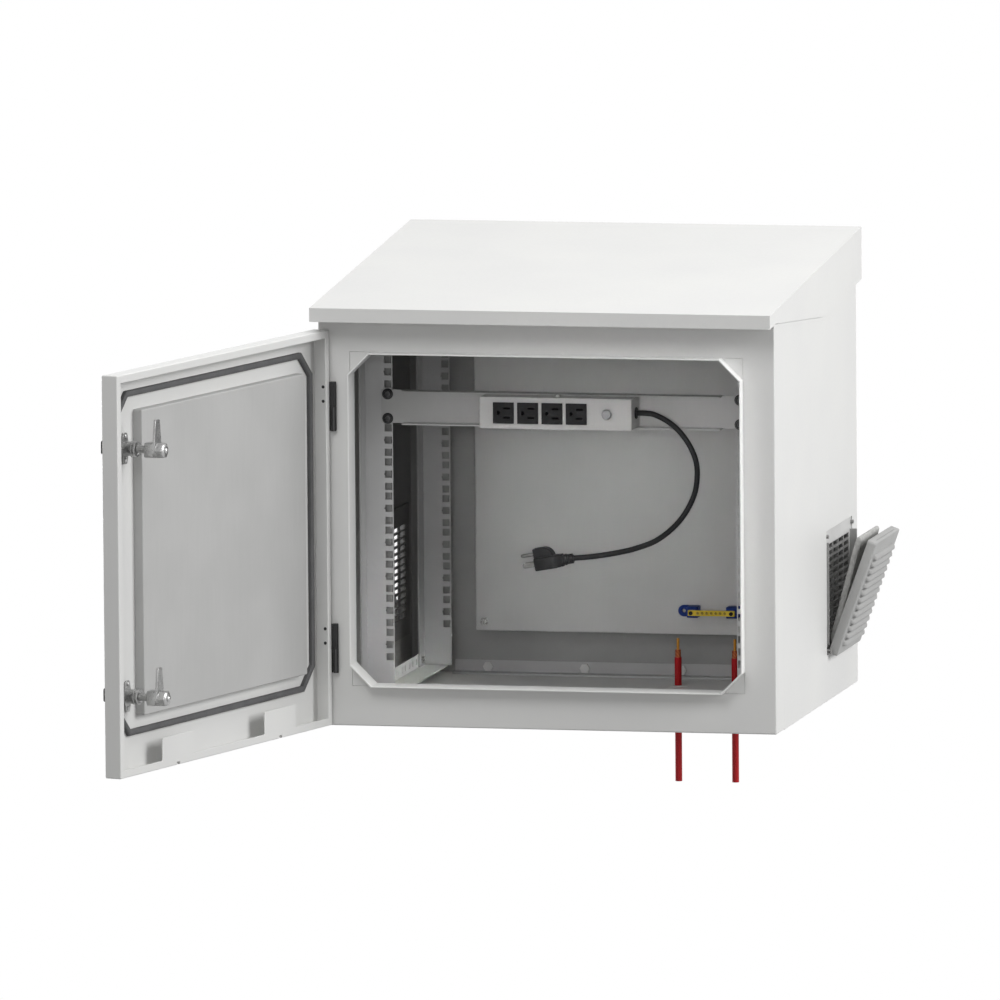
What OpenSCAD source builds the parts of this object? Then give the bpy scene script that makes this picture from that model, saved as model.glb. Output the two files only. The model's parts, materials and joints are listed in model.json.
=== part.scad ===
// Outdoor rack cabinet with a swung-out door, sloped rain hood, rack rails, power strip and side vents.
// Frame: +Z up, the front faces -Y, the origin is the centre of the wall bolts on the rear face.

/* [Body] */
// Width across the side panels
body_w = 600; // [560:1:700]
// Height from floor to top panel
body_h = 530; // [522:1:600]
// Depth from front face to rear face
body_d = 531; // [500:1:600]
// Sheet thickness of the body panels
wall = 1.5; // [1:0.1:2.5]
// Depth of the front frame's wrap round the corners
frame_wrap = 49; // [30:1:60]
// Distance of the wall bolts from the body's sides, top and floor
bolt_in = 50; // [40:1:80]
// Diameter of the wall bolt holes
bolt_hole_d = 11; // [8:0.5:14]

/* [Front opening] */
// Distance of the rim from each side of the body
rim_side = 41.5; // [38:0.5:48]
// Distance of the rim from the body's top
rim_top = 44; // [40:0.5:50]
// Distance of the rim from the body's floor
rim_bottom = 52; // [46:0.5:58]
// Corner chamfer of the rim
rim_chamfer = 28; // [15:1:40]
// Sheet thickness of the rim
rim_t = 2; // [1.5:0.1:3]
// Reach of the rim in front of the front face
rim_out = 17; // [12:0.5:19]
// Reach of the rim behind the front face
rim_in = 18; // [14:0.5:20]

/* [Rain hood] */
// Overhang of the hood past the front face
hood_front = 40; // [34:1:60]
// Overhang of the hood past the rear face
hood_rear = 28; // [10:1:40]
// Height of the hood's front top edge above the body top
hood_rise = 16; // [14:1:30]
// Slope of the roof, in degrees
hood_slope = 4.85; // [3:0.05:6]
// Height of the front lip
hood_lip = 18; // [14:1:24]
// Depth of the side and rear skirts below the roof
hood_skirt = 69; // [60:1:80]
// Place of the skirts' lowest point, as a share of the body's depth from the front
hood_knee = 0.576; // [0.4:0.001:0.7]
// Sheet thickness of the hood
hood_t = 2; // [1.5:0.1:3]
// Clearance between a skirt and the side panel
hood_fit = 0.3; // [0.2:0.1:0.9]

/* [Door] */
// Distance of the closed door's free edge from the body's right side
door_side = 8; // [6:0.5:18]
// Distance of the door's top edge below the body's top
door_top = 15.5; // [12:0.5:20]
// Distance of the door's bottom edge above the body's floor
door_bottom = 1.5; // [0:0.5:6]
// Depth of the door pan
door_t = 22.6; // [20:0.1:26]
// Width of the pan's turned-in return lip
door_lip = 10; // [8:0.5:13]
// Opening angle at rest
door_open = 105.3; // [0:0.1:110]
// Distance of the hinge axis from the body's left side
hinge_inset = 20.9; // [19:0.1:24]
// Distance of the hinge axis in front of the front face
hinge_out = 4.1; // [4:0.1:5]
// Gap from hinge axis to the door's edge
door_edge_gap = 5; // [4.5:0.1:6]
// Distance from hinge axis forward to the door's inner plane
door_plane_gap = 3; // [2:0.1:4]
// Distance of the hinges from the door's top and bottom edges
hinge_end = 99.5; // [70:0.5:130]
// Height of one hinge knuckle
knuckle_h = 32; // [24:1:40]
// Radius of a hinge knuckle
knuckle_r = 3.6; // [3.2:0.1:3.8]
// Radius of a hinge pin
pin_r = 2; // [1.5:0.1:2.4]
// Running clearance round the hinge pins and latch spindles
run_gap = 0.05; // [0.03:0.01:0.1]
// Gap between parts that move past each other
free_gap = 0.3; // [0.2:0.05:0.5]
// Width of the foam gasket
gasket_w = 9; // [7:0.5:12]
// Height of the stiffener panel on the door's inside
stiffener_t = 13; // [8:0.5:14]

/* [Latches] */
// Distance of the latch axis inside the opening rim
latch_inset = 20.8; // [20.5:0.1:28]
// Distance of the latches from the door's top and bottom edges
latch_end = 98.5; // [80:0.5:130]
// Reach of the cam arm from the latch axis
cam_reach = 39; // [34:1:42]
// Thickness of the cam arm
cam_t = 3; // [2:0.1:4]
// Diameter of the latch barrel
latch_d = 20; // [18:0.5:22]
// Length of the knob in front of the door
knob_l = 26; // [15:1:30]

/* [Rack] */
// Height of the rack's middle unit above the body's centre
rack_z = 5; // [2:0.5:8]
// Distance of the rack hole columns from the body's sides, which gives the usual spacing at the drawn width
rack_side = 67.45; // [66:0.05:70]
// Height of the body that the rack units leave free
rack_margin = 100; // [90:1:130]
// Distance of the front rails behind the front face
rail_setback = 107; // [90:1:130]
// Distance from front rails to rear rails
rail_span = 338; // [300:1:360]
// Width of a rail's face
rail_face = 38; // [32:1:42]
// Depth of a rail's side flange
rail_flange = 30; // [24:1:36]
// Sheet thickness of the rails
rail_t = 2; // [1.5:0.1:2.5]
// Width of the square rack holes
rack_hole = 9.5; // [9:0.1:10]
// Rack units between the power strip and the top of the rails
strip_down = 1; // [0:1:3]

/* [Inside] */
// Width of the mounting plate
plate_w = 412; // [380:1:430]
// Height of the mounting plate
plate_h = 404; // [360:1:420]
// Height of the plate's centre relative to the body's centre
plate_z = -2; // [-6:1:4]
// Gap from the rear face to the mounting plate's front
plate_off = 30; // [24:1:36]
// Length of the bus bar over its insulators
bus_l = 96; // [80:1:110]
// Distance of the bus bar's middle from the plate's right edge
bus_side = 91; // [70:1:120]
// Height of the bus bar above the plate's lower edge
bus_up = 32; // [20:1:60]

/* [Power strip] */
// Width of the socket box
strip_w = 201; // [190:1:215]
// Depth of the socket box in front of the channel
strip_d = 50; // [40:1:52]
// Height of the socket box
strip_h = 43.6; // [40:0.1:44]
// Width and height of an outlet
outlet_s = 27.4; // [25:0.1:29]
// Spacing of the outlets
outlet_pitch = 32; // [30:0.5:33]
// Radius of the push button
button_r = 6.2; // [5:0.1:7]
// Depth of the channel's flanges
channel_flange = 20; // [12:1:26]

/* [Vents] */
// Width of a vent opening
vent_w = 170; // [160:1:180]
// Height of a vent opening
vent_h = 162; // [156:1:172]
// Distance of the vent's centre in front of the rear face
vent_back = 118; // [110:1:140]
// Height of the vent's centre relative to the body's centre
vent_z = -123.5; // [-130:0.5:-110]
// Tilt of the right louvre cover at rest
cover_tilt = 19.8; // [0:0.1:30]
// Tilt of the left louvre cover at rest
left_tilt = 19.8; // [0:0.1:30]
// Share of the cover's tilt that its filter pad follows
filter_follow = 0.7575; // [0.6:0.0005:0.8]
// Depth of a louvre cover
cover_d = 14; // [12.5:0.5:18]
// Louvres on a cover
louvres = 13; // [8:1:13]
// Thickness of the filter pads
filter_t = 8; // [5:0.5:8.5]

/* [Cables] */
// Diameter of the two floor cables
cable_d = 9.2; // [7:0.1:10]
// Place of the left cable across the cabinet
cable_x = 79; // [70:1:90]
// Spacing of the two cables
cable_pitch = 76; // [60:1:90]
// Distance of the cables in front of the rear face
cable_back = 94; // [80:1:110]
// Cable length below the floor
cable_drop = 124; // [80:1:160]
// Jacket length above the floor
jacket_up = 38; // [25:1:50]
// Diameter of the power strip's cord
cord_d = 7.2; // [6:0.1:8]

/* [Hidden] */
$fn = 48;
eps = 0.01;
u = 44.45;
hole_step = 15.875;

front_y = -body_d;
top_z = body_h / 2;
floor_z = -body_h / 2;
side_x = body_w / 2;
bolt_dx = body_w - 2 * bolt_in;
bolt_dz = body_h - 2 * bolt_in;
wrap_y = front_y + frame_wrap;
seam_gap = 0.4;
seat_gap = 0.05;

rim_w = body_w - 2 * rim_side;
rim_h = body_h - rim_top - rim_bottom;
rim_z = (rim_bottom - rim_top) / 2;

hinge_x = -side_x + hinge_inset;
door_w = body_w - hinge_inset - door_edge_gap - door_side;
door_h = body_h - door_top - door_bottom;
door_z = (door_bottom - door_top) / 2;
latch_u = rim_w / 2 - latch_inset - hinge_x;
hinge_y = front_y - hinge_out;
skin_y = -door_plane_gap - door_t;
rim_edge_y = hinge_out - rim_out;
gasket_t = rim_edge_y - free_gap - skin_y - wall;
lip_y = -door_plane_gap;
latch_zs = [door_z - door_h / 2 + latch_end, door_z + door_h / 2 - latch_end];
hinge_zs = [door_z - door_h / 2 + hinge_end, door_z + door_h / 2 - hinge_end];

hole_pitch = body_w - 2 * rack_side;
units = floor((body_h - rack_margin) / u);
rail_front_y = front_y + rail_setback;
rail_rear_y = rail_front_y + rail_span;
rail_in_x = hole_pitch / 2 - 6;
rail_out_x = rail_in_x + rail_face;
bracket_t = 1.5;
bracket_h = 17;
bracket_w = 34;
rail_foot = 21.475;
rail_head = 11.475;
rail_z0 = floor_z + rail_foot;
rail_z1 = top_z - rail_head;
rail_flange_hole = 5;

strip_z = rack_z + ((units - 1) / 2 - strip_down) * u;
channel_t = 1.5;
channel_ear = 8.5;
channel_clear = 22.5;
channel_y = rail_front_y - channel_t;
box_y = channel_y - strip_d;
button_x = 67.5;
button_travel = 2.5;
outlet_x0 = -68.3;
grommet_y = channel_y - channel_flange - 6;
earth_in = 14;

cam_y = hinge_out + rim_in + free_gap;
flange_t = 5;
nut_l = 10;
barrel_end = skin_y + wall + flange_t + nut_l + 4;
spindle_r = 4;
stud_end = cam_y + cam_t + 19;

angle_l = body_w - 120;
angle_leg = 17;
angle_t = 2;
angle_bolt_step = (angle_l + 40) / 4;

plate_y = -plate_off;
plate_t = 2;
plate_fold = 12;
stud_dx = plate_w / 2 - 12;
stud_dz = plate_h / 2 - 12;
bus_x = plate_w / 2 - bus_side;
bus_z = plate_z - plate_h / 2 + bus_up;
bus_post = 18;
bus_bar_w = 7;
bus_bar_t = 6;
bus_bar_l = bus_l - 34;
bus_bar_drop = 0.5;
bus_hole_step = (bus_bar_l - 14) / 8;
bus_end_x = bus_bar_l / 2 - 4;

vent_y = -vent_back;
frame_t = 3;
frame_land = 6;
grid_cols = 4;
grid_rows = 14;
grid_dy = 35;
grid_dz = 9;
pivot_out = 2.5;
pivot_up = 4;
pivot_r = 1.5;
cover_w = vent_w - 12;
cover_h = vent_h - 3;
cover_t = 2;
cover_margin = 20;
filter_w = 124;
filter_up = 10;
filter_h = cover_h - 20;
frame_x = side_x - wall;
pivot_z = vent_z - vent_h / 2 + pivot_up;
pivot_x = frame_x + pivot_out + 1.5;

cable_xs = [cable_x, cable_x + cable_pitch];
gland_r = 11;
bush_lip = 1;

// Cord route in the plane of the grommet, as [x, z] steps from the grommet's seat, ending at the plug.
cord_steps = [
    [1.5, 0], [13.5, 0], [25.5, -2], [43.5, -11], [59.5, -25], [72.5, -44], [79.5, -63], [80.5, -83], [76.5, -105],
    [64.5, -129], [47.5, -149], [24.5, -166], [-1.5, -176], [-19, -180.5], [-36.5, -184], [-58.5, -187.5], [-82.5, -190]
];
cord_route = [for (p = cord_steps) [strip_w / 2, strip_z] + p];
plug_back = cord_route[len(cord_route) - 1];
plug_l = 51;
plug_tilt = 10;
plug_half = 8.4;
plug_top = 20.4;
plug_relief = 17;

// Shared shapes

// A block from one corner to the other.
module span(a, b) {
    translate(a)
        cube(b - a);
}

// A rod along +Y that starts at the given point.
module rod_y(p, r, l) {
    translate(p)
        rotate([-90, 0, 0])
            cylinder(r = r, h = l);
}

// A hexagon prism along +Y, measured across its flats.
module hex_y(p, flats, l) {
    translate(p)
        rotate([-90, 0, 0])
            cylinder(r = flats / sqrt(3), h = l, $fn = 6);
}

// A rectangle with all four corners cut at 45 degrees, centred.
module cut_rect(w, h, c) {
    polygon([
        [-w / 2 + c, -h / 2], [w / 2 - c, -h / 2], [w / 2, -h / 2 + c], [w / 2, h / 2 - c],
        [w / 2 - c, h / 2], [-w / 2 + c, h / 2], [-w / 2, h / 2 - c], [-w / 2, -h / 2 + c]
    ]);
}

// A flat XZ outline made solid from y0 to y1.
module slab_y(y0, y1) {
    translate([0, y1, 0])
        rotate([90, 0, 0])
            linear_extrude(y1 - y0)
                children();
}

// Puts children, modelled round the hinge axis with the door closed, at the rest angle.
module door_place() {
    translate([hinge_x, hinge_y, 0])
        rotate([0, 0, -door_open])
            children();
}

// Mirrors to the left side when side is -1.
module on_side(side) {
    if (side < 0)
        mirror([1, 0, 0])
            children();
    else
        children();
}

// Body sheets

module side_panel(side) {
    color("gainsboro")
        on_side(side)
            difference() {
                span([side_x - wall, wrap_y, floor_z], [side_x, 0, top_z]);
                translate([side_x, vent_y, vent_z])
                    cube([4 * wall, vent_w, vent_h], center = true);
            }
}

module left_panel() {
    side_panel(-1);
}

module right_panel() {
    side_panel(1);
}

module rear_panel() {
    color("gainsboro")
        difference() {
            span([-side_x + wall, -wall, floor_z], [side_x - wall, 0, top_z]);
            for (x = [-1, 1], z = [-1, 1])
                rod_y([x * bolt_dx / 2, -2 * wall, z * bolt_dz / 2], bolt_hole_d / 2, 4 * wall);
        }
}

module floor_panel() {
    color("gainsboro")
        difference() {
            span([-side_x + wall, wrap_y, floor_z], [side_x - wall, -wall, floor_z + wall]);
            for (x = cable_xs)
                translate([x, -cable_back, floor_z - wall])
                    cylinder(r = gland_r - 2, h = 4 * wall);
        }
}

module top_panel() {
    color("gainsboro")
        span([-side_x + wall, wrap_y, top_z - wall], [side_x - wall, -wall, top_z]);
}

module front_frame() {
    color("lightgray")
        difference() {
            span([-side_x, front_y, floor_z], [side_x, wrap_y, top_z]);
            span([-side_x + wall, front_y + wall, floor_z + wall], [side_x - wall, wrap_y + wall, top_z - wall]);
            translate([0, 0, rim_z])
                slab_y(front_y - wall, front_y + 2 * wall)
                    square([rim_w, rim_h], center = true);
        }
}

// Triangles that close the square corners of the opening outside the chamfered rim.
module corner_gussets() {
    leg = rim_chamfer - seam_gap;
    color("lightgray")
        for (x = [-1, 1], z = [-1, 1])
            translate([x * (rim_w / 2 - seam_gap), 0, rim_z + z * (rim_h / 2 - seam_gap)])
                slab_y(front_y, front_y + wall)
                    polygon([[0, 0], [-x * (leg - seam_gap), 0], [0, -z * (leg - seam_gap)]]);
}

module opening_rim() {
    rim_slim = rim_t * (2 - sqrt(2));
    color("whitesmoke")
        translate([0, 0, rim_z])
            difference() {
                slab_y(front_y - rim_out, front_y + rim_in)
                    cut_rect(rim_w, rim_h, rim_chamfer);
                slab_y(front_y - rim_out - wall, front_y + rim_in + wall)
                    cut_rect(rim_w - 2 * rim_t, rim_h - 2 * rim_t, rim_chamfer - rim_slim);
            }
}

// Rain hood

function roof_z(y) = top_z + hood_rise + (y - front_y + hood_front) * tan(hood_slope);

module hood_skirt_plate(side) {
    y0 = front_y - hood_front;
    y1 = hood_rear;
    knee_y = front_y * (1 - hood_knee);
    on_side(side)
        translate([side_x + hood_fit + hood_t, 0, 0])
            rotate([90, 0, -90])
                linear_extrude(hood_t)
                    polygon([
                        [-y0, roof_z(y0)], [-y0, roof_z(y0) - hood_lip],
                        [-front_y, roof_z(front_y) - hood_lip], [-knee_y, roof_z(knee_y) - hood_skirt],
                        [-y1, roof_z(y1) - hood_skirt], [-y1, roof_z(y1)]
                    ]);
}

module roof_hood() {
    y0 = front_y - hood_front;
    y1 = hood_rear;
    x1 = side_x + hood_fit + hood_t;
    color("white") {
        translate([x1, 0, 0])
            rotate([90, 0, -90])
                linear_extrude(2 * x1)
                    polygon([
                        [-y0, roof_z(y0)], [-y1, roof_z(y1)],
                        [-y1, roof_z(y1) - hood_t], [-y0, roof_z(y0) - hood_t]
                    ]);
        span([-x1, y0, roof_z(y0) - hood_lip], [x1, y0 + hood_t, roof_z(y0)]);
        span([-x1, y1 - hood_t, roof_z(y1) - hood_skirt], [x1, y1, roof_z(y1) - hood_t / 2]);
        hood_skirt_plate(1);
        hood_skirt_plate(-1);
    }
}

// Hinges: the lower knuckle with the pin is fixed to the body, the upper one lifts off with the door

module hinge_base(z) {
    leaf_w = 16;
    leaf_t = 2;
    color([0.15, 0.15, 0.15]) {
        translate([hinge_x, hinge_y, z - knuckle_h])
            cylinder(r = knuckle_r, h = knuckle_h - free_gap);
        translate([hinge_x, hinge_y, z - knuckle_h])
            cylinder(r = pin_r, h = 2 * knuckle_h - 6);
        span([hinge_x - leaf_w, front_y - leaf_t, z - knuckle_h], [hinge_x, front_y, z - free_gap]);
        span([hinge_x - knuckle_r, front_y - hinge_out, z - knuckle_h], [hinge_x, front_y, z - free_gap]);
    }
}

module upper_hinge_base() {
    hinge_base(hinge_zs[1]);
}

module lower_hinge_base() {
    hinge_base(hinge_zs[0]);
}

module hinge_leaf(z) {
    leaf_t = 2;
    leaf_back = 15;
    color([0.15, 0.15, 0.15])
        door_place()
            difference() {
                union() {
                    translate([0, 0, z])
                        cylinder(r = knuckle_r, h = knuckle_h);
                    span([door_edge_gap - leaf_t, -leaf_back, z], [door_edge_gap, knuckle_r / 2, z + knuckle_h]);
                    span([0, -knuckle_r, z], [door_edge_gap, knuckle_r / 2, z + knuckle_h]);
                }
                translate([0, 0, z - 1])
                    cylinder(r = pin_r + run_gap, h = knuckle_h - 4);
            }
}

module upper_hinge_leaf() {
    hinge_leaf(hinge_zs[1]);
}

module lower_hinge_leaf() {
    hinge_leaf(hinge_zs[0]);
}

// Door

module door_skin() {
    x0 = door_edge_gap;
    x1 = door_edge_gap + door_w;
    z0 = door_z - door_h / 2;
    z1 = door_z + door_h / 2;
    tab_w = 84;
    tab_h = 39;
    tab_us = [door_w * 0.249, door_w * 0.731];
    notch_w = 8;
    notch_h = 4;
    color("gainsboro")
        door_place()
            difference() {
                union() {
                    difference() {
                        span([x0, skin_y, z0], [x1, lip_y, z1]);
                        span([x0 + wall, skin_y + wall, z0 + wall], [x1 - wall, lip_y - wall, z1 - wall]);
                        span([x0 + door_lip, skin_y + wall, z0 + door_lip], [x1 - door_lip, lip_y + wall, z1 - door_lip]);
                    }
                    for (t = tab_us)
                        span([x0 + t - tab_w / 2, lip_y - wall, z0 + wall], [x0 + t + tab_w / 2, lip_y, z0 + tab_h]);
                }
                for (t = tab_us)
                    span([x0 + t - notch_w / 2, lip_y - 2 * wall, z0 - wall], [x0 + t + notch_w / 2, lip_y + wall, z0 + notch_h]);
                for (z = latch_zs)
                    rod_y([latch_u, skin_y - wall, z], latch_d / 2 + free_gap, 4 * wall);
            }
}

module door_stiffener() {
    x0 = door_edge_gap + 51;
    x1 = latch_u - 25;
    z0 = door_z - door_h / 2 + 71.5;
    z1 = door_z + door_h / 2 - 51.5;
    y0 = skin_y + wall;
    t = wall;
    color("gainsboro")
        door_place()
            difference() {
                span([x0, y0, z0], [x1, y0 + stiffener_t, z1]);
                span([x0 + t, y0 - t, z0 + t], [x1 - t, y0 + stiffener_t - t, z1 - t]);
            }
}

module door_gasket() {
    y0 = skin_y + wall;
    color("dimgray")
        door_place()
            translate([-hinge_x, 0, rim_z])
                difference() {
                    slab_y(y0, y0 + gasket_t)
                        cut_rect(rim_w - rim_t + gasket_w, rim_h - rim_t + gasket_w, rim_chamfer + gasket_w / 4);
                    slab_y(y0 - 1, y0 + gasket_t + 1)
                        cut_rect(rim_w - rim_t - gasket_w, rim_h - rim_t - gasket_w, rim_chamfer - gasket_w / 4);
                }
}

// Latches: a fixed housing in the skin, a turning spindle with the knob, and the cam clamped on its end

module latch_housing(z) {
    plate_l = 3;
    color([0.5, 0.5, 0.52])
        door_place()
            difference() {
                union() {
                    rod_y([latch_u, skin_y - plate_l, z], latch_d / 2 + 3, plate_l);
                    rod_y([latch_u, skin_y - plate_l, z], latch_d / 2, barrel_end - skin_y + plate_l);
                    translate([latch_u, 0, z])
                        slab_y(skin_y + wall, skin_y + wall + flange_t)
                            polygon([[-12, 0], [-5, -20], [5, -20], [12, 0], [5, 20], [-5, 20]]);
                    hex_y([latch_u, skin_y + wall + flange_t, z], latch_d + 5, nut_l);
                }
                rod_y([latch_u, skin_y - 10, z], spindle_r + run_gap, 60);
            }
}

module upper_latch_housing() {
    latch_housing(latch_zs[1]);
}

module lower_latch_housing() {
    latch_housing(latch_zs[0]);
}

module latch_spindle(z) {
    y0 = skin_y - 3 - free_gap - knob_l;
    color([0.25, 0.25, 0.27])
        door_place() {
            difference() {
                rod_y([latch_u, y0, z], latch_d / 2 - 1, knob_l);
                for (s = [-1, 1])
                    translate([latch_u + s * latch_d / 2, y0 + knob_l / 4, z])
                        cube([latch_d / 2, knob_l, latch_d * 2], center = true);
            }
            rod_y([latch_u, y0, z], spindle_r, stud_end - y0);
        }
}

module upper_latch_spindle() {
    latch_spindle(latch_zs[1]);
}

module lower_latch_spindle() {
    latch_spindle(latch_zs[0]);
}

module latch_cam(z) {
    hub_r = 7.5;
    hub_y = barrel_end + free_gap;
    nut_h = 8;
    color("silver")
        door_place()
            difference() {
                union() {
                    rod_y([latch_u, hub_y, z], hub_r, cam_y - hub_y + eps);
                    translate([latch_u, 0, z])
                        slab_y(cam_y, cam_y + cam_t) {
                            circle(r = hub_r + 2.5);
                            polygon([[-9.3, 0], [9.3, 0], [4.5, cam_reach - 4], [3, cam_reach], [-3, cam_reach], [-4.5, cam_reach - 4]]);
                        }
                    hex_y([latch_u, cam_y + cam_t - eps, z], 17, nut_h);
                }
                rod_y([latch_u, hub_y - 1, z], spindle_r + seat_gap, 60);
            }
}

module upper_latch_cam() {
    latch_cam(latch_zs[1]);
}

module lower_latch_cam() {
    latch_cam(latch_zs[0]);
}

// Rack rails and their depth brackets

module rack_rail(side, y) {
    hole_x = hole_pitch / 2;
    notch = 2.4;
    color("silver")
        on_side(side)
            difference() {
                union() {
                    span([rail_in_x, y, rail_z0], [rail_out_x, y + rail_t, rail_z1]);
                    span([rail_out_x - rail_t, y - rail_flange, rail_z0], [rail_out_x, y + rail_t, rail_z1]);
                }
                for (i = [0 : units - 1]) {
                    zu = rack_z + (i - (units - 1) / 2) * u;
                    for (k = [-1, 0, 1])
                        translate([hole_x, y + rail_t / 2, zu + k * hole_step])
                            cube([rack_hole, 4 * rail_t, rack_hole], center = true);
                    translate([hole_x + rack_hole / 2, y + rail_t / 2, zu])
                        rotate([0, 45, 0])
                            cube([notch, 4 * rail_t, notch], center = true);
                }
                for (z = [rail_z0 + bracket_h / 2, rail_z1 - bracket_h / 2])
                    translate([rail_out_x - 2 * rail_t, y - rail_flange / 2, z])
                        rotate([0, 90, 0])
                            cylinder(r = rail_flange_hole / 2 + 0.2, h = 4 * rail_t);
            }
}

module front_left_rail() {
    rack_rail(-1, rail_front_y);
}

module front_right_rail() {
    rack_rail(1, rail_front_y);
}

module rear_left_rail() {
    rack_rail(-1, rail_rear_y);
}

module rear_right_rail() {
    rack_rail(1, rail_rear_y);
}

// One depth bracket: an angle from the front frame to the rear panel that carries two rail ends.
module rail_bracket(side, up) {
    x1 = rail_out_x + bracket_t;
    x0 = x1 - bracket_w;
    z0 = up > 0 ? rail_z1 : rail_z0;
    slot_l = 8;
    slots = 24;
    slot_dy = (body_d - 2 * wall - 40) / (slots - 1);
    on_side(side)
        difference() {
            union() {
                span([x0, front_y + wall, min(z0, z0 + up * bracket_t)],
                     [x1, rail_rear_y + rail_t, max(z0, z0 + up * bracket_t)]);
                span([rail_out_x, front_y + wall, min(z0 - up * bracket_h, z0 + up * bracket_t)],
                     [x1, -wall, max(z0 - up * bracket_h, z0 + up * bracket_t)]);
            }
            for (i = [0 : slots - 1])
                translate([rail_out_x, front_y + wall + 20 + i * slot_dy, z0 - up * bracket_h / 2])
                    cube([4 * bracket_t, 3.5, slot_l], center = true);
            for (y = [rail_front_y, rail_rear_y])
                translate([rail_out_x - bracket_t, y - rail_flange / 2, z0 - up * bracket_h / 2])
                    rotate([0, 90, 0])
                        cylinder(r = rail_flange_hole / 2 + 0.2, h = 4 * bracket_t);
        }
}

module rail_brackets() {
    color("lightgray")
        for (s = [-1, 1], v = [-1, 1])
            rail_bracket(s, v);
}

module rail_screws() {
    color("silver")
        for (s = [-1, 1], y = [rail_front_y, rail_rear_y], z = [rail_z0 + bracket_h / 2, rail_z1 - bracket_h / 2])
            on_side(s)
                translate([rail_out_x - rail_t, y - rail_flange / 2, z])
                    rotate([0, 90, 0]) {
                        translate([0, 0, -3])
                            cylinder(r = rail_flange_hole * 0.9, h = 3);
                        cylinder(r = rail_flange_hole / 2, h = rail_t + bracket_t + 3);
                    }
}

// Power strip

module strip_channel() {
    ear_w = hole_pitch + 2 * channel_ear;
    tray_w = hole_pitch - 2 * channel_clear;
    z0 = strip_z - strip_h / 2;
    z1 = strip_z + strip_h / 2;
    color("silver")
        difference() {
            union() {
                span([-ear_w / 2, channel_y, z0], [ear_w / 2, rail_front_y, z1]);
                for (z = [z0, z1 - channel_t])
                    span([-tray_w / 2, channel_y - channel_flange, z], [tray_w / 2, rail_front_y, z + channel_t]);
            }
            for (x = [-1, 1], k = [-1, 1])
                rod_y([x * hole_pitch / 2, channel_y - 1, strip_z + k * hole_step], 3.2, 4);
        }
}

module strip_box() {
    t = 1.2;
    z0 = strip_z - strip_h / 2 + channel_t;
    z1 = strip_z + strip_h / 2 - channel_t;
    color("lightgray")
        difference() {
            span([-strip_w / 2, box_y, z0], [strip_w / 2, channel_y, z1]);
            span([-strip_w / 2 + t, box_y + t, z0 + t], [strip_w / 2 - t, channel_y + t, z1 - t]);
            for (i = [0 : 3])
                translate([outlet_x0 + i * outlet_pitch, box_y, strip_z])
                    cube([outlet_s - 2, 4 * t, outlet_s - 2], center = true);
            rod_y([button_x, box_y - 1, strip_z], button_r + free_gap, 4 * t);
            translate([strip_w / 2 - 2 * t, grommet_y, strip_z])
                rotate([0, 90, 0])
                    cylinder(r = cord_d / 2 + 2, h = 4 * t);
            translate([0, box_y + earth_in, z1 - 2 * t])
                cylinder(r = 2 + seat_gap, h = 4 * t);
        }
}

// One snap-in socket with an earth hole and two slots.
module outlet(i) {
    bezel = 2;
    depth = 22;
    slot = [8.5, 2.2];
    color([0.12, 0.12, 0.12])
        translate([outlet_x0 + i * outlet_pitch, box_y, strip_z])
            difference() {
                union() {
                    span([-outlet_s / 2, -bezel, -outlet_s / 2], [outlet_s / 2, 0, outlet_s / 2]);
                    span([-outlet_s / 2 + 1, -eps, -outlet_s / 2 + 1], [outlet_s / 2 - 1, depth, outlet_s / 2 - 1]);
                }
                difference() {
                    rod_y([-7, -bezel - 1, 0], 2.6, 16);
                    span([-11, -bezel - 2, -4], [-8.4, 16, 4]);
                }
                for (k = [-1, 1])
                    translate([4.5, 6, k * 6])
                        cube([slot[0], 18, slot[1]], center = true);
            }
}

module outlet_1() {
    outlet(0);
}

module outlet_2() {
    outlet(1);
}

module outlet_3() {
    outlet(2);
}

module outlet_4() {
    outlet(3);
}

module strip_button() {
    color([0.55, 0.55, 0.57])
        difference() {
            rod_y([button_x, box_y - 4, strip_z], button_r, 16);
            rod_y([button_x, box_y - 4.6, strip_z], button_r - 2, 1.2);
        }
}

module strip_grommet() {
    color([0.1, 0.1, 0.1])
        translate([strip_w / 2, grommet_y, strip_z])
            rotate([0, 90, 0])
                difference() {
                    union() {
                        cylinder(r = cord_d / 2 + 4, h = 2);
                        translate([0, 0, -3])
                            cylinder(r = cord_d / 2 + 2, h = 3);
                    }
                    translate([0, 0, -4])
                        cylinder(r = cord_d / 2, h = 12);
                }
}

module rack_screws() {
    color([0.1, 0.1, 0.1])
        for (x = [-1, 1], k = [-1, 1])
            translate([x * hole_pitch / 2, channel_y, strip_z + k * hole_step]) {
                rod_y([0, -1.2, 0], 6.9, 1.2);
                difference() {
                    rod_y([0, -4.2, 0], 5, 3.2);
                    rod_y([0, -5, 0], 1.8, 2.4);
                }
                rod_y([0, -1, 0], 3, 14);
            }
}

module earth_screw() {
    color("silver")
        translate([0, box_y + earth_in, strip_z + strip_h / 2 - channel_t]) {
            difference() {
                cylinder(r = 4.5, h = 2.6);
                translate([0, 0, 1.6])
                    cylinder(r = 1.6, h = 2);
            }
            translate([0, 0, -6])
                cylinder(r = 2, h = 6 + eps);
        }
}

// Cord swept along its route: one ring of points at each route point, joined by side faces.
function cord_point(i) = [cord_route[i][0], grommet_y, cord_route[i][1]];
function cord_tangent(i) =
    let (a = cord_route[max(i - 1, 0)], b = cord_route[min(i + 1, len(cord_route) - 1)])
    (b - a) / norm(b - a);

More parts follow.
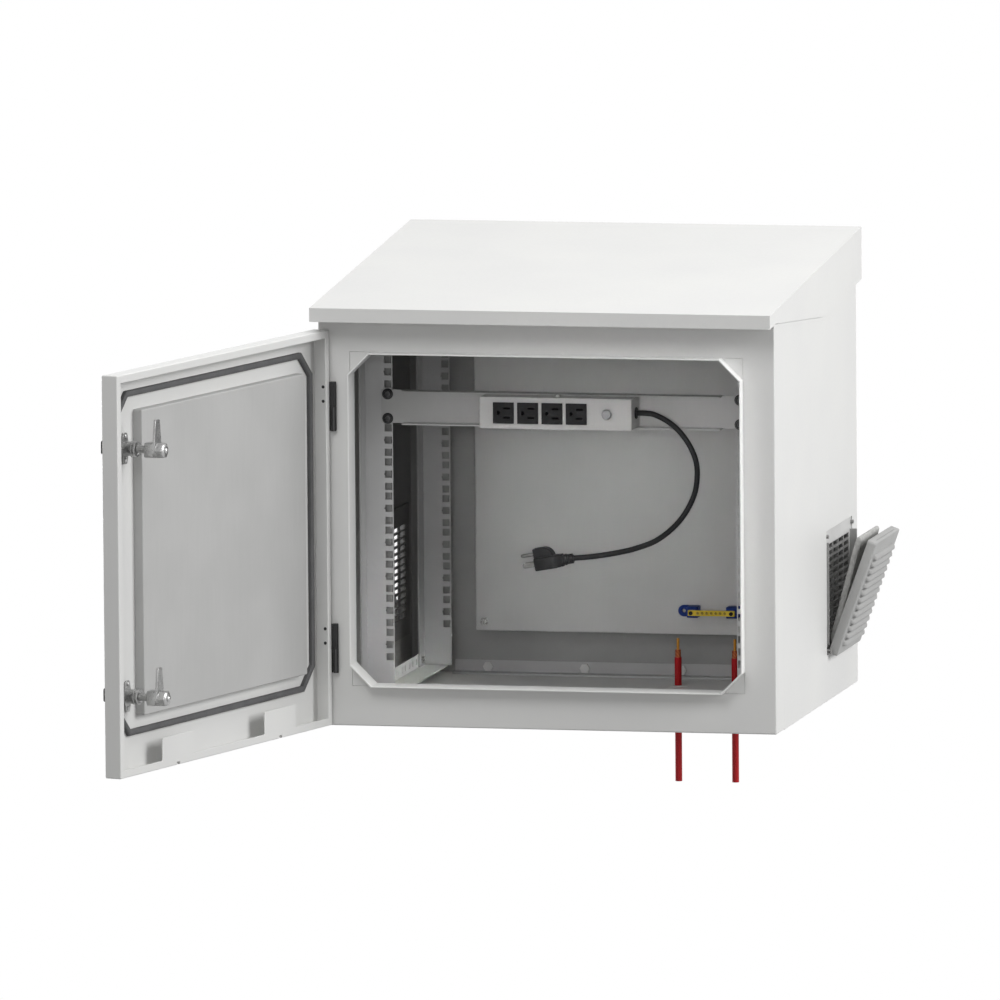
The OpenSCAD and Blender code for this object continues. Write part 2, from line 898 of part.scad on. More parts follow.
module power_cord() {
    sides = 10;
    rings = len(cord_route);
    points = [
        for (i = [0 : rings - 1], k = [0 : sides - 1])
            let (t = i == 0 ? [1, 0] : i == rings - 1 ? [-1, 0] : cord_tangent(i), a = 360 * k / sides)
            cord_point(i) + cord_d / 2 * [-t[1] * cos(a), sin(a), t[0] * cos(a)]
    ];
    ends = [[for (k = [0 : sides - 1]) k], [for (k = [sides - 1 : -1 : 0]) (rings - 1) * sides + k]];
    sides_faces = [
        for (i = [0 : rings - 2], k = [0 : sides - 1])
            let (n = (k + 1) % sides)
            [i * sides + n, i * sides + k, (i + 1) * sides + k, (i + 1) * sides + n]
    ];
    color([0.12, 0.12, 0.12])
        polyhedron(points, concat(ends, sides_faces), convexity = 6);
}

// Frame of the plug: the cord's end is the origin, the pins point along +Z and +X is up.
module plug_place() {
    translate([plug_back[0], grommet_y, plug_back[1]])
        rotate([0, -90 - plug_tilt, 0])
            children();
}

// Moulded plug: a ribbed strain relief, a flat-sided grip and a raised back over the earth pin.
module cord_plug() {
    grip_w = 24;
    back_w = 18;
    color([0.12, 0.12, 0.12])
        plug_place() {
            cylinder(r1 = cord_d / 2 + 1.5, r2 = plug_half, h = plug_relief);
            for (i = [0 : 2])
                translate([0, 0, 2 + 5 * i])
                    cylinder(r = cord_d / 2 + 3 + 1.2 * i, h = 2.6);
            translate([-plug_half, -grip_w / 2, plug_relief])
                cube([2 * plug_half, grip_w, plug_l - plug_relief]);
            translate([0, back_w / 2, 0])
                rotate([90, 0, 0])
                    linear_extrude(back_w)
                        polygon([[0, plug_l], [plug_top, plug_l], [plug_top, plug_l - 15], [plug_top - 2, plug_l - 20],
                                 [plug_half + 4, plug_l - 25], [0, plug_l - 30]]);
        }
}

module plug_pins() {
    pin_l = 16;
    color("silver")
        plug_place()
            translate([0, 0, plug_l]) {
                translate([13, 0, 0])
                    cylinder(r = 2.4, h = pin_l + 2);
                for (s = [-1, 1])
                    translate([0.5, s * 6.35, pin_l / 2])
                        cube([6.3, 1.5, pin_l], center = true);
            }
}

// Mounting plate on spacers, floor angle, and the earth bar

module mounting_plate() {
    z0 = plate_z - plate_h / 2;
    z1 = plate_z + plate_h / 2;
    color("silver")
        difference() {
            span([-plate_w / 2, plate_y, z0], [plate_w / 2, plate_y + plate_fold, z1]);
            span([-plate_w / 2 + plate_t, plate_y + plate_t, z0 + plate_t],
                 [plate_w / 2 - plate_t, plate_y + plate_fold + 1, z1 - plate_t]);
            for (x = [-1, 1], z = [-1, 1])
                rod_y([x * stud_dx, plate_y - 1, plate_z + z * stud_dz], 3.2, 4);
        }
}

module plate_studs() {
    color("silver")
        for (x = [-1, 1], z = [-1, 1])
            translate([x * stud_dx, 0, plate_z + z * stud_dz]) {
                rod_y([0, plate_y + plate_t, 0], 6, plate_off - plate_t - wall);
                rod_y([0, plate_y - 9, 0], 3, 12);
                hex_y([0, plate_y - 5, 0], 10, 5);
            }
}

module rear_floor_angle() {
    floor_leg = 22;
    color("lightgray")
        difference() {
            union() {
                span([-angle_l / 2, -wall - angle_t, floor_z + wall], [angle_l / 2, -wall, floor_z + wall + angle_leg]);
                span([-angle_l / 2, -wall - floor_leg, floor_z + wall], [angle_l / 2, -wall, floor_z + wall + angle_t]);
            }
            for (i = [-1.5 : 1 : 1.5])
                rod_y([i * angle_bolt_step, -wall - 2 * angle_t, floor_z + wall + angle_leg / 2], 3.2, 3 * angle_t);
        }
}

module floor_bolts() {
    head = 4.5;
    color("silver")
        for (i = [-1.5 : 1 : 1.5])
            translate([i * angle_bolt_step, -wall - angle_t, floor_z + wall + angle_leg / 2]) {
                hex_y([0, -head, 0], 12, head);
                rod_y([0, -1, 0], 3, 1 + angle_t);
            }
}

module bus_insulators() {
    foot = 29;
    foot_h = 15;
    post = 15;
    color("mediumblue")
        for (s = [-1, 1])
            translate([bus_x + s * (bus_l - foot) / 2, plate_y, bus_z])
                difference() {
                    union() {
                        span([min(s * (foot - foot_h) / 2, -s * foot / 2), -5, -foot_h / 2],
                             [max(s * (foot - foot_h) / 2, -s * foot / 2), 0, foot_h / 2]);
                        rod_y([s * (foot - foot_h) / 2, -5, 0], foot_h / 2, 5);
                        span([-s * foot / 4 - post / 2, -bus_post, -foot_h / 2], [-s * foot / 4 + post / 2, 0, foot_h / 2]);
                    }
                    rod_y([s * (foot - foot_h) / 2, -6, 0], 2.4, 8);
                }
}

module bus_bar() {
    color("gold")
        translate([bus_x, plate_y - bus_post, bus_z - bus_bar_drop])
            difference() {
                span([-bus_bar_l / 2, -bus_bar_t, -bus_bar_w / 2], [bus_bar_l / 2, 0, bus_bar_w / 2]);
                for (i = [-3 : 3])
                    rod_y([i * bus_hole_step, -bus_bar_t - 1, 0], 2.1, bus_bar_t + 2);
                for (s = [-1, 1])
                    rod_y([s * bus_end_x, -bus_bar_t - 1, 0], 1.6 + seat_gap, bus_bar_t + 2);
            }
}

module bus_screws() {
    head = 2.4;
    color([0.2, 0.2, 0.2])
        for (s = [-1, 1])
            translate([bus_x + s * bus_end_x, plate_y - bus_post - bus_bar_t, bus_z - bus_bar_drop]) {
                rod_y([0, -head, 0], 2.6, head);
                rod_y([0, -1, 0], 1.6, bus_bar_t + 1);
            }
}

// Floor cables with stripped ends

module cable_glands() {
    color("gainsboro")
        for (x = cable_xs)
            translate([x, -cable_back, floor_z])
                difference() {
                    union() {
                        translate([0, 0, -bush_lip])
                            cylinder(r = gland_r, h = bush_lip);
                        cylinder(r = gland_r - 2, h = wall);
                        translate([0, 0, wall])
                            cylinder(r = gland_r, h = bush_lip);
                    }
                    translate([0, 0, -5])
                        cylinder(r = cable_d / 2 + seat_gap, h = 12);
                }
}

module cable_tails() {
    color("firebrick")
        for (x = cable_xs)
            translate([x, -cable_back, floor_z])
                cylinder(r = cable_d / 2, h = wall + jacket_up);
}

module cable_shields() {
    color([0.72, 0.45, 0.2])
        for (x = cable_xs)
            translate([x, -cable_back, floor_z + wall + jacket_up])
                cylinder(r = cable_d / 2 - 0.8, h = 10);
}

module cable_cores() {
    color("goldenrod")
        for (x = cable_xs)
            translate([x, -cable_back, floor_z + wall + jacket_up + 10])
                cylinder(r = cable_d * 0.2, h = 15);
}

module floor_cable(x) {
    color("firebrick")
        translate([x, -cable_back, floor_z - cable_drop])
            cylinder(r = cable_d / 2, h = cable_drop);
}

module left_floor_cable() {
    floor_cable(cable_xs[0]);
}

module right_floor_cable() {
    floor_cable(cable_xs[1]);
}

// Side vents: a slotted frame behind the panel, a filter pad and a tilting louvre cover

module vent_frame(side) {
    lug_t = 4;
    boss_r = 2.6;
    boss_dy = vent_w / 2 - boss_r - free_gap;
    boss_dz = vent_h / 2 - 7;
    color([0.6, 0.6, 0.6])
        on_side(side)
            difference() {
                union() {
                    span([frame_x - frame_t, vent_y - vent_w / 2 - frame_land, vent_z - vent_h / 2 - frame_land],
                         [frame_x, vent_y + vent_w / 2 + frame_land, vent_z + vent_h / 2 + frame_land]);
                    for (s = [-1, 1]) {
                        translate([frame_x - eps, vent_y + s * boss_dy, vent_z + boss_dz])
                            rotate([0, 90, 0])
                                cylinder(r = boss_r, h = 4);
                        translate([frame_x - eps, vent_y + s * (cover_w / 2 + free_gap + lug_t / 2) - lug_t / 2, pivot_z - 3])
                            cube([pivot_x - frame_x + 3, lug_t, 6]);
                    }
                }
                translate([pivot_x, vent_y - vent_w, pivot_z])
                    rotate([-90, 0, 0])
                        cylinder(r = pivot_r + run_gap, h = 2 * vent_w);
                for (i = [0 : grid_cols - 1], k = [0 : grid_rows - 1])
                    translate([frame_x - frame_t / 2, vent_y + (i - (grid_cols - 1) / 2) * grid_dy,
                               vent_z + (k - (grid_rows - 1) / 2) * grid_dz])
                        cube([4 * frame_t, grid_dy - 5, grid_dz - 3], center = true);
                for (s = [-1, 1])
                    translate([frame_x + 1, vent_y + s * boss_dy, vent_z + boss_dz])
                        rotate([0, 90, 0])
                            cylinder(r = boss_r / 2, h = 6);
            }
}

module left_vent_frame() {
    vent_frame(-1);
}

module right_vent_frame() {
    vent_frame(1);
}

// Filter pad with a rounded lower edge that it rolls on.
module vent_filter(side, tilt) {
    edge_r = filter_t / 2;
    color("lightgray")
        on_side(side)
            translate([frame_x + free_gap + edge_r, vent_y, pivot_z + filter_up + edge_r])
                rotate([0, tilt * filter_follow, 0]) {
                    rod_y([0, -filter_w / 2, 0], edge_r, filter_w);
                    span([-edge_r, -filter_w / 2, 0], [edge_r, filter_w / 2, filter_h - edge_r]);
                }
}

module left_vent_filter() {
    vent_filter(-1, left_tilt);
}

module right_vent_filter() {
    vent_filter(1, cover_tilt);
}

// Louvre cover, modelled closed round its pivot, with bevelled front edges and raised blades.
module cover_shell() {
    x0 = -pivot_out - 1;
    x1 = x0 + cover_d;
    z0 = -3;
    z1 = z0 + cover_h;
    bevel = 6;
    slot_w = cover_w - 2 * cover_margin;
    pitch = 10;
    first = (z0 + z1) / 2 - pitch * (louvres - 1) / 2 - 3;
    difference() {
        intersection() {
            translate([0, cover_w / 2, 0])
                rotate([90, 0, 0])
                    linear_extrude(cover_w)
                        polygon([[x0, z0 + 4], [x0 + 2, z0], [x1 - bevel, z0], [x1, z0 + bevel * 2], [x1, z1 - bevel],
                                 [x1 - bevel / 2, z1], [x0, z1]]);
            translate([0, 0, z0])
                linear_extrude(cover_h)
                    polygon([[x0, -cover_w / 2], [x1 - bevel, -cover_w / 2], [x1, -cover_w / 2 + bevel],
                             [x1, cover_w / 2 - bevel], [x1 - bevel, cover_w / 2], [x0, cover_w / 2]]);
        }
        span([x0 - 1, -cover_w / 2 + cover_t, z0 + cover_t], [x1 - bevel - 1, cover_w / 2 - cover_t, z1 - cover_t]);
        span([x0 - 1, -cover_w / 2 + bevel + 1, z0 + bevel * 2], [x1 - cover_t, cover_w / 2 - bevel - 1, z1 - bevel]);
        span([x0 + 4, -cover_w / 2 + 18, z1 - 5], [x0 + 8, cover_w / 2 - 18, z1 + 1]);
        for (i = [0 : louvres - 1])
            translate([x1, 0, first + i * pitch])
                cube([4 * cover_t, slot_w, 5.6], center = true);
    }
    for (i = [0 : louvres - 1])
        translate([x1, slot_w / 2 + 2, first + i * pitch])
            rotate([90, 0, 0])
                linear_extrude(slot_w + 4)
                    polygon([[-cover_t, 2.8], [0, 2.8], [3.2, -2.6], [3.2, -3.8], [2.2, -3.8], [-cover_t, 4.4]]);
    for (s = [-1, 1])
        translate([0, s * (cover_w / 2 + 1.5), 0])
            rotate([90, 0, 0])
                cylinder(r = pivot_r, h = 5, center = true);
}

module vent_cover(side, tilt) {
    color("lightgray")
        on_side(side)
            translate([pivot_x, vent_y, pivot_z])
                rotate([0, tilt, 0])
                    cover_shell();
}

module left_vent_cover() {
    vent_cover(-1, left_tilt);
}

module right_vent_cover() {
    vent_cover(1, cover_tilt);
}

left_panel();
right_panel();
rear_panel();
floor_panel();
top_panel();
front_frame();
corner_gussets();
opening_rim();
roof_hood();
upper_hinge_base();
lower_hinge_base();
mounting_plate();
plate_studs();
rear_floor_angle();
floor_bolts();
front_left_rail();
front_right_rail();
rear_left_rail();
rear_right_rail();
rail_brackets();
rail_screws();
strip_channel();
strip_box();
outlet_1();
outlet_2();
outlet_3();
outlet_4();
strip_grommet();
rack_screws();
earth_screw();
strip_button();
power_cord();
cord_plug();
plug_pins();
bus_bar();
bus_screws();
bus_insulators();
cable_glands();
cable_tails();
cable_shields();
cable_cores();
left_floor_cable();
right_floor_cable();
left_vent_frame();
right_vent_frame();
left_vent_filter();
right_vent_filter();
left_vent_cover();
right_vent_cover();
door_skin();
door_stiffener();
door_gasket();
upper_hinge_leaf();
lower_hinge_leaf();
upper_latch_housing();
lower_latch_housing();
upper_latch_spindle();
lower_latch_spindle();
upper_latch_cam();
lower_latch_cam();
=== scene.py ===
import json
import math

import bmesh
import bpy
from mathutils import Matrix, Vector, noise


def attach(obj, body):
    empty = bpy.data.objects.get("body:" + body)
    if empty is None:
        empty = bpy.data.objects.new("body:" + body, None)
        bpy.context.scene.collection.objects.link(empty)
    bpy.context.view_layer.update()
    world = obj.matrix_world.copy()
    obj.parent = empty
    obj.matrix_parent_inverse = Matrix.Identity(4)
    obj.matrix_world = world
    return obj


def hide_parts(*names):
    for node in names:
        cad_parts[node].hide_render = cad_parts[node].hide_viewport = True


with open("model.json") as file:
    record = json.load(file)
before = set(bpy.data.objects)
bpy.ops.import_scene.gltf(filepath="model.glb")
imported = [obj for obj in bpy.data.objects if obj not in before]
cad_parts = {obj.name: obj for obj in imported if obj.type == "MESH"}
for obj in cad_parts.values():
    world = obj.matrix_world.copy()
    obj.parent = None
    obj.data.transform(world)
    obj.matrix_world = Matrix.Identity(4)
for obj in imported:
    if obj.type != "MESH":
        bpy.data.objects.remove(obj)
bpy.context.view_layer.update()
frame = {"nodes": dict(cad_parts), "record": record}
nodes = frame["nodes"]
mm = 0.001
print("frame loaded with", len(nodes), "nodes")


# colours and shader nodes
def hexColor(code):
    parts = [int(code[i:i + 2], 16) / 255 for i in (1, 3, 5)]
    return [p / 12.92 if p <= 0.04045 else ((p + 0.055) / 1.055) ** 2.4 for p in parts] + [1.0]


def perMetre(sizeMm):
    return 1000.0 / sizeMm  # a texture's scale for features of that size


def addNode(tree, kind, links=None, **settings):
    made = tree.nodes.new(kind)
    for name, value in settings.items():
        setattr(made, name, value)
    for socket, value in (links or {}).items():
        if isinstance(value, bpy.types.NodeSocket):
            tree.links.new(value, made.inputs[socket])
        else:
            made.inputs[socket].default_value = value
    return made


def startFinish(name):
    made = bpy.data.materials.new(name)
    made.use_nodes = True
    made.node_tree.nodes.clear()
    return made, made.node_tree


def closeFinish(tree, shader):
    addNode(tree, "ShaderNodeOutputMaterial", {"Surface": shader.outputs["BSDF"]})


# a plain finish with a soft tone drift, an uneven gloss and a fine bump
def coatedFinish(name, facts):
    made, tree = startFinish(name)
    place = addNode(tree, "ShaderNodeTexCoord").outputs["Object"]
    drift = addNode(tree, "ShaderNodeTexNoise", {
        "Vector": place, "Scale": perMetre(facts["driftMm"]), "Detail": 3.0})
    tone = addNode(tree, "ShaderNodeValToRGB", {"Fac": drift.outputs["Fac"]})
    tone.color_ramp.elements[0].position = 0.3
    tone.color_ramp.elements[0].color = hexColor(facts["dark"])
    tone.color_ramp.elements[1].position = 0.7
    tone.color_ramp.elements[1].color = hexColor(facts["light"])
    grain = addNode(tree, "ShaderNodeTexNoise", {
        "Vector": place, "Scale": perMetre(facts["grainMm"]), "Detail": 2.0})
    gloss = addNode(tree, "ShaderNodeMapRange", {
        "Value": grain.outputs["Fac"], "From Min": 0.3, "From Max": 0.7,
        "To Min": facts["rough"] - facts["roughDrift"], "To Max": facts["rough"] + facts["roughDrift"]})
    bump = addNode(tree, "ShaderNodeBump", {
        "Height": grain.outputs["Fac"], "Strength": facts["bump"], "Distance": facts["bumpMm"] * mm})
    shader = addNode(tree, "ShaderNodeBsdfPrincipled", {
        "Base Color": tone.outputs["Color"], "Roughness": gloss.outputs["Result"],
        "Normal": bump.outputs["Normal"], "Metallic": facts.get("metallic", 0.0)})
    if facts.get("metallic", 0.0) < 0.5:
        shader.inputs["IOR"].default_value = facts.get("ior", 1.5)
    closeFinish(tree, shader)
    return made


# metal drawn along one axis: long thin streaks in gloss and height
streakFacts = {"roughDrift": 0.06, "bumpMm": 0.05}


def drawnMetal(name, facts):
    made, tree = startFinish(name)
    place = addNode(tree, "ShaderNodeTexCoord").outputs["Object"]
    stretch = addNode(tree, "ShaderNodeMapping", {"Vector": place, "Scale": facts["stretch"]})
    streak = addNode(tree, "ShaderNodeTexNoise", {
        "Vector": stretch.outputs["Vector"], "Scale": perMetre(facts["streakMm"]), "Detail": 4.0})
    cloud = addNode(tree, "ShaderNodeTexNoise", {
        "Vector": place, "Scale": perMetre(facts["cloudMm"]), "Detail": 2.0})
    tone = addNode(tree, "ShaderNodeValToRGB", {"Fac": cloud.outputs["Fac"]})
    tone.color_ramp.elements[0].position = 0.35
    tone.color_ramp.elements[0].color = hexColor(facts["dark"])
    tone.color_ramp.elements[1].position = 0.65
    tone.color_ramp.elements[1].color = hexColor(facts["light"])
    gloss = addNode(tree, "ShaderNodeMapRange", {
        "Value": streak.outputs["Fac"], "From Min": 0.3, "From Max": 0.7,
        "To Min": facts["rough"] - streakFacts["roughDrift"], "To Max": facts["rough"] + streakFacts["roughDrift"]})
    bump = addNode(tree, "ShaderNodeBump", {
        "Height": streak.outputs["Fac"], "Strength": facts["bump"], "Distance": streakFacts["bumpMm"] * mm})
    shader = addNode(tree, "ShaderNodeBsdfPrincipled", {
        "Base Color": tone.outputs["Color"], "Roughness": gloss.outputs["Result"],
        "Normal": bump.outputs["Normal"], "Metallic": facts["metallic"]})
    closeFinish(tree, shader)
    return made


# polyester powder coat on folded steel: pale, satin, with a faint orange peel drawn at 4 mm so that it shows
powderCoat = coatedFinish("polyesterPowderCoat", {
    "dark": "#D5D5D4", "light": "#D9D9D7", "driftMm": 160, "grainMm": 4, "rough": 0.46, "roughDrift": 0.05,
    "bump": 0.06, "bumpMm": 0.06})
# the same coat on the mouth's bent rim, painted a shade brighter as a highlight along the edge
rimPaintedHighlight = coatedFinish("rimCoatPaintedHighlight", {
    "dark": "#E2E2E1", "light": "#E8E8E6", "driftMm": 160, "grainMm": 4, "rough": 0.42, "roughDrift": 0.05,
    "bump": 0.05, "bumpMm": 0.06})
# the same coat baked on the rack steel inside, a shade greyer and flatter
rackCoat = coatedFinish("bakedRackCoat", {
    "dark": "#BBBBBB", "light": "#C4C4C4", "driftMm": 90, "grainMm": 3, "rough": 0.5, "roughDrift": 0.05,
    "bump": 0.05, "bumpMm": 0.05})
# painted shade for the inside of the body panels and the lips behind the rails: darker grey and dead matt
innerWallPaintedShade = coatedFinish("innerCoatPaintedShade", {
    "dark": "#9C9C9B", "light": "#A6A6A5", "driftMm": 120, "grainMm": 3, "rough": 0.65, "roughDrift": 0.05,
    "bump": 0.05, "bumpMm": 0.05})
# galvanised sheet of the door's stiffener and the strip's channel: even mid grey with a faint cloud
galvanisedSheet = drawnMetal("galvanisedSheet", {
    "dark": "#AFAFAE", "light": "#B4B4B3", "streakMm": 5, "cloudMm": 110, "stretch": (1, 1, 0.08), "rough": 0.6,
    "bump": 0.04, "metallic": 0.1})
# zinc-plated mounting plate: matt grey with broad soft clouds and a faint rolling grain
platedSheet = drawnMetal("zincPlatedSheet", {
    "dark": "#C0C0BF", "light": "#C7C7C6", "streakMm": 6, "cloudMm": 140, "stretch": (1, 1, 0.06), "rough": 0.55,
    "bump": 0.05, "metallic": 0.15})
# bright zinc on screws and nuts: clear highlights broken by a fine turning mark
brightZinc = drawnMetal("brightZincPlate", {
    "dark": "#ABABA9", "light": "#C6C6C4", "streakMm": 2, "cloudMm": 12, "stretch": (1, 0.2, 1), "rough": 0.28,
    "bump": 0.08, "metallic": 1.0})
# white passivated zinc of the floor bolts: pale and even, hardly a mirror
paleZinc = coatedFinish("whitePassivatedZinc", {
    "dark": "#DADAD8", "light": "#E2E2E0", "driftMm": 12, "grainMm": 1.5, "rough": 0.35, "roughDrift": 0.05,
    "bump": 0.05, "bumpMm": 0.04})
# die-cast zinc of the latches: satin grey with a cast skin
castZinc = coatedFinish("dieCastZinc", {
    "dark": "#9B9B9B", "light": "#B4B4B3", "driftMm": 14, "grainMm": 1.6, "rough": 0.32, "roughDrift": 0.08,
    "bump": 0.12, "bumpMm": 0.06, "metallic": 0.9})
# grey satin stove enamel on the power strip
stripEnamel = coatedFinish("satinStoveEnamel", {
    "dark": "#AEAEAC", "light": "#B4B4B2", "driftMm": 70, "grainMm": 3, "rough": 0.4, "roughDrift": 0.04,
    "bump": 0.05, "bumpMm": 0.05})
# moulded black nylon: nearly black, soft sheen, spark-eroded grain
blackNylon = coatedFinish("mouldedBlackNylon", {
    "dark": "#151516", "light": "#1C1C1D", "driftMm": 20, "grainMm": 1.5, "rough": 0.58, "roughDrift": 0.08,
    "bump": 0.15, "bumpMm": 0.05, "ior": 1.25})
# black oxide on the hinges, rack screws and latch knobs
blackOxide = coatedFinish("blackOxideSteel", {
    "dark": "#1A1A1B", "light": "#252526", "driftMm": 18, "grainMm": 2, "rough": 0.42, "roughDrift": 0.08,
    "bump": 0.1, "bumpMm": 0.05})
# soft PVC cord jacket: black, slightly waxy
cordJacket = coatedFinish("blackPvcJacket", {
    "dark": "#161617", "light": "#1D1D1E", "driftMm": 30, "grainMm": 2, "rough": 0.5, "roughDrift": 0.06,
    "bump": 0.08, "bumpMm": 0.05, "ior": 1.27})
# red PVC of the floor cables
redJacket = coatedFinish("redPvcJacket", {
    "dark": "#A8141A", "light": "#B81C22", "driftMm": 40, "grainMm": 2, "rough": 0.4, "roughDrift": 0.06,
    "bump": 0.08, "bumpMm": 0.05, "ior": 1.33})
# extruded brass of the earth bar
brassBar = drawnMetal("extrudedBrass", {
    "dark": "#C9AE26", "light": "#D6BB30", "streakMm": 3, "cloudMm": 25, "stretch": (0.1, 1, 1), "rough": 0.4,
    "bump": 0.08, "metallic": 0.25})
# the same brass painted darker as the shade in the bottoms of the bar's threaded holes
brassPaintedHoleShade = drawnMetal("brassPaintedHoleShade", {
    "dark": "#7E6A18", "light": "#94801F", "streakMm": 1.5, "cloudMm": 6, "stretch": (1, 0.3, 1), "rough": 0.45,
    "bump": 0.08, "metallic": 0.3})
# glossy blue polyester of the bar's feet
bluePolyester = coatedFinish("bluePolyesterMoulding", {
    "dark": "#05286C", "light": "#08317E", "driftMm": 15, "grainMm": 1.5, "rough": 0.42, "roughDrift": 0.05,
    "bump": 0.06, "bumpMm": 0.04, "ior": 1.3})
# light grey moulded ASA of the vents: even, slightly chalky
greyAsa = coatedFinish("mouldedGreyAsa", {
    "dark": "#9A9A99", "light": "#A2A2A1", "driftMm": 60, "grainMm": 2, "rough": 0.52, "roughDrift": 0.06,
    "bump": 0.08, "bumpMm": 0.05, "ior": 1.5})
# the grille's border, the same moulding painted paler as the lit part beside the shaded bars
asaBorderPaintedLight = coatedFinish("asaPaintedLightBorder", {
    "dark": "#BEBEBD", "light": "#C6C6C5", "driftMm": 60, "grainMm": 2, "rough": 0.52, "roughDrift": 0.06,
    "bump": 0.08, "bumpMm": 0.05, "ior": 1.5})
# the vent's barred grille, the same moulding painted a darker grey as the shade that the cover and the pad cast on it
grillePaintedShade = coatedFinish("grilleBarsPaintedShade", {
    "dark": "#868685", "light": "#908F8E", "driftMm": 40, "grainMm": 2, "rough": 0.6, "roughDrift": 0.06,
    "bump": 0.08, "bumpMm": 0.05, "ior": 1.4})
# the button's satin grey cap
buttonCap = coatedFinish("satinGreyCap", {
    "dark": "#8E8E8F", "light": "#979798", "driftMm": 8, "grainMm": 1.5, "rough": 0.5, "roughDrift": 0.05,
    "bump": 0.06, "bumpMm": 0.04, "ior": 1.4})
# EPDM door seal: dark grey, dull, with a closed-cell skin
doorSeal = coatedFinish("epdmSeal", {
    "dark": "#4A4A4B", "light": "#565657", "driftMm": 25, "grainMm": 1.8, "rough": 0.72, "roughDrift": 0.08,
    "bump": 0.3, "bumpMm": 0.12, "ior": 1.52})
# needled polyester filter mat: matt, with a felted grain drawn at 3 mm so that it shows
filterMat = coatedFinish("needledPolyester", {
    "dark": "#A3A3A1", "light": "#BBBBB9", "driftMm": 5, "grainMm": 3, "rough": 0.9, "roughDrift": 0.05,
    "bump": 0.6, "bumpMm": 0.4, "ior": 1.5})


# braided copper screen: diagonal strands, warm metal
def braidFinish(name, facts):
    made, tree = startFinish(name)
    place = addNode(tree, "ShaderNodeTexCoord").outputs["Object"]
    rising = addNode(tree, "ShaderNodeTexWave", {
        "Vector": place, "Scale": perMetre(facts["strandMm"]) / facts["bandsPerScale"], "Distortion": 0.0},
        bands_direction="DIAGONAL")
    tone = addNode(tree, "ShaderNodeValToRGB", {"Fac": rising.outputs["Fac"]})
    tone.color_ramp.elements[0].color = hexColor(facts["dark"])
    tone.color_ramp.elements[1].color = hexColor(facts["light"])
    bump = addNode(tree, "ShaderNodeBump", {
        "Height": rising.outputs["Fac"], "Strength": facts["bump"], "Distance": facts["bumpMm"] * mm})
    shader = addNode(tree, "ShaderNodeBsdfPrincipled", {
        "Base Color": tone.outputs["Color"], "Roughness": facts["rough"], "Metallic": facts["metallic"],
        "Normal": bump.outputs["Normal"]})
    closeFinish(tree, shader)
    return made


copperScreen = braidFinish("braidedCopper", {
    "dark": "#A04A26", "light": "#BC6A3C", "strandMm": 1.2, "bandsPerScale": 6.3, "rough": 0.5, "bump": 0.5,
    "bumpMm": 0.2, "metallic": 0.4})
# annealed copper of the bare cores: warm gold, drawn along the core
copperCore = drawnMetal("annealedCopper", {
    "dark": "#C8862E", "light": "#D6963A", "streakMm": 1.5, "cloudMm": 12, "stretch": (1, 1, 0.1), "rough": 0.38,
    "bump": 0.06, "metallic": 0.5})
# nickel plate of the plug's blades: darker than zinc, soft highlight
nickelBlade = drawnMetal("nickelPlate", {
    "dark": "#5E5E5C", "light": "#70706D", "streakMm": 1.5, "cloudMm": 8, "stretch": (1, 0.3, 1), "rough": 0.35,
    "bump": 0.05, "metallic": 0.9})
print("finishes made")

finishOfSlot = {
    "body_paint": powderCoat, "rail_steel": rackCoat, "plate_steel": platedSheet, "bright_screws": brightZinc,
    "strip_paint": stripEnamel, "black_plastic": blackNylon, "button_plastic": buttonCap, "black_steel": blackOxide,
    "cord_rubber": cordJacket, "earth_brass": brassBar, "blue_insulator": bluePolyester, "red_jacket": redJacket,
    "copper_braid": copperScreen, "vent_plastic": greyAsa, "filter_felt": filterMat, "gasket_foam": doorSeal,
    "latch_zinc": castZinc, "knob_black": blackOxide}
slotOfNode = {row["node"]: row["material_slot"] for row in frame["record"]["subparts"]}
bodyOfNode = {n: body for body, members in frame["record"]["behaviour"]["bodies"].items() for n in members}
for nodeName, nodeObject in nodes.items():
    nodeObject.data.materials.clear()
    nodeObject.data.materials.append(finishOfSlot[slotOfNode[nodeName]])
nodes["cable_cores"].data.materials[0] = copperCore


# mesh helpers; edges sharper than bendDeg are bends of a sheet
meshFacts = {"weld": 2e-5, "flatDeg": 1, "bendDeg": 25}


def showMesh(name, bm, finish, body, instead=(), sharpDeg=35):
    bmesh.ops.recalc_face_normals(bm, faces=bm.faces)
    mesh = bpy.data.meshes.new(name)
    bm.to_mesh(mesh)
    bm.free()
    mesh.materials.append(finish)
    for face in mesh.polygons:
        face.use_smooth = True
    mesh.set_sharp_from_angle(angle=math.radians(sharpDeg))
    made = bpy.data.objects.new(name, mesh)
    bpy.context.scene.collection.objects.link(made)
    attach(made, body)
    if instead:
        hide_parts(*instead)
    return made


def addBevel(obj, width, segments=2, angleDeg=30):
    made = obj.modifiers.new("edgeRound", "BEVEL")
    made.width = width
    made.segments = segments
    made.limit_method = "ANGLE"
    made.angle_limit = math.radians(angleDeg)
    made.harden_normals = True


def evenNormals(obj):
    made = obj.modifiers.new("evenNormals", "WEIGHTED_NORMAL")
    made.keep_sharp = True


def bareMesh(nodeName):
    bm = bmesh.new()
    data = nodes[nodeName].data
    made = [bm.verts.new(v.co) for v in data.vertices]
    for poly in data.polygons:
        try:
            bm.faces.new([made[i] for i in poly.vertices])
        except ValueError:  # a face that is there already
            continue
    bmesh.ops.remove_doubles(bm, verts=bm.verts, dist=meshFacts["weld"])
    bmesh.ops.recalc_face_normals(bm, faces=bm.faces)
    bmesh.ops.dissolve_limit(bm, angle_limit=math.radians(meshFacts["flatDeg"]), verts=bm.verts, edges=bm.edges)
    return bm


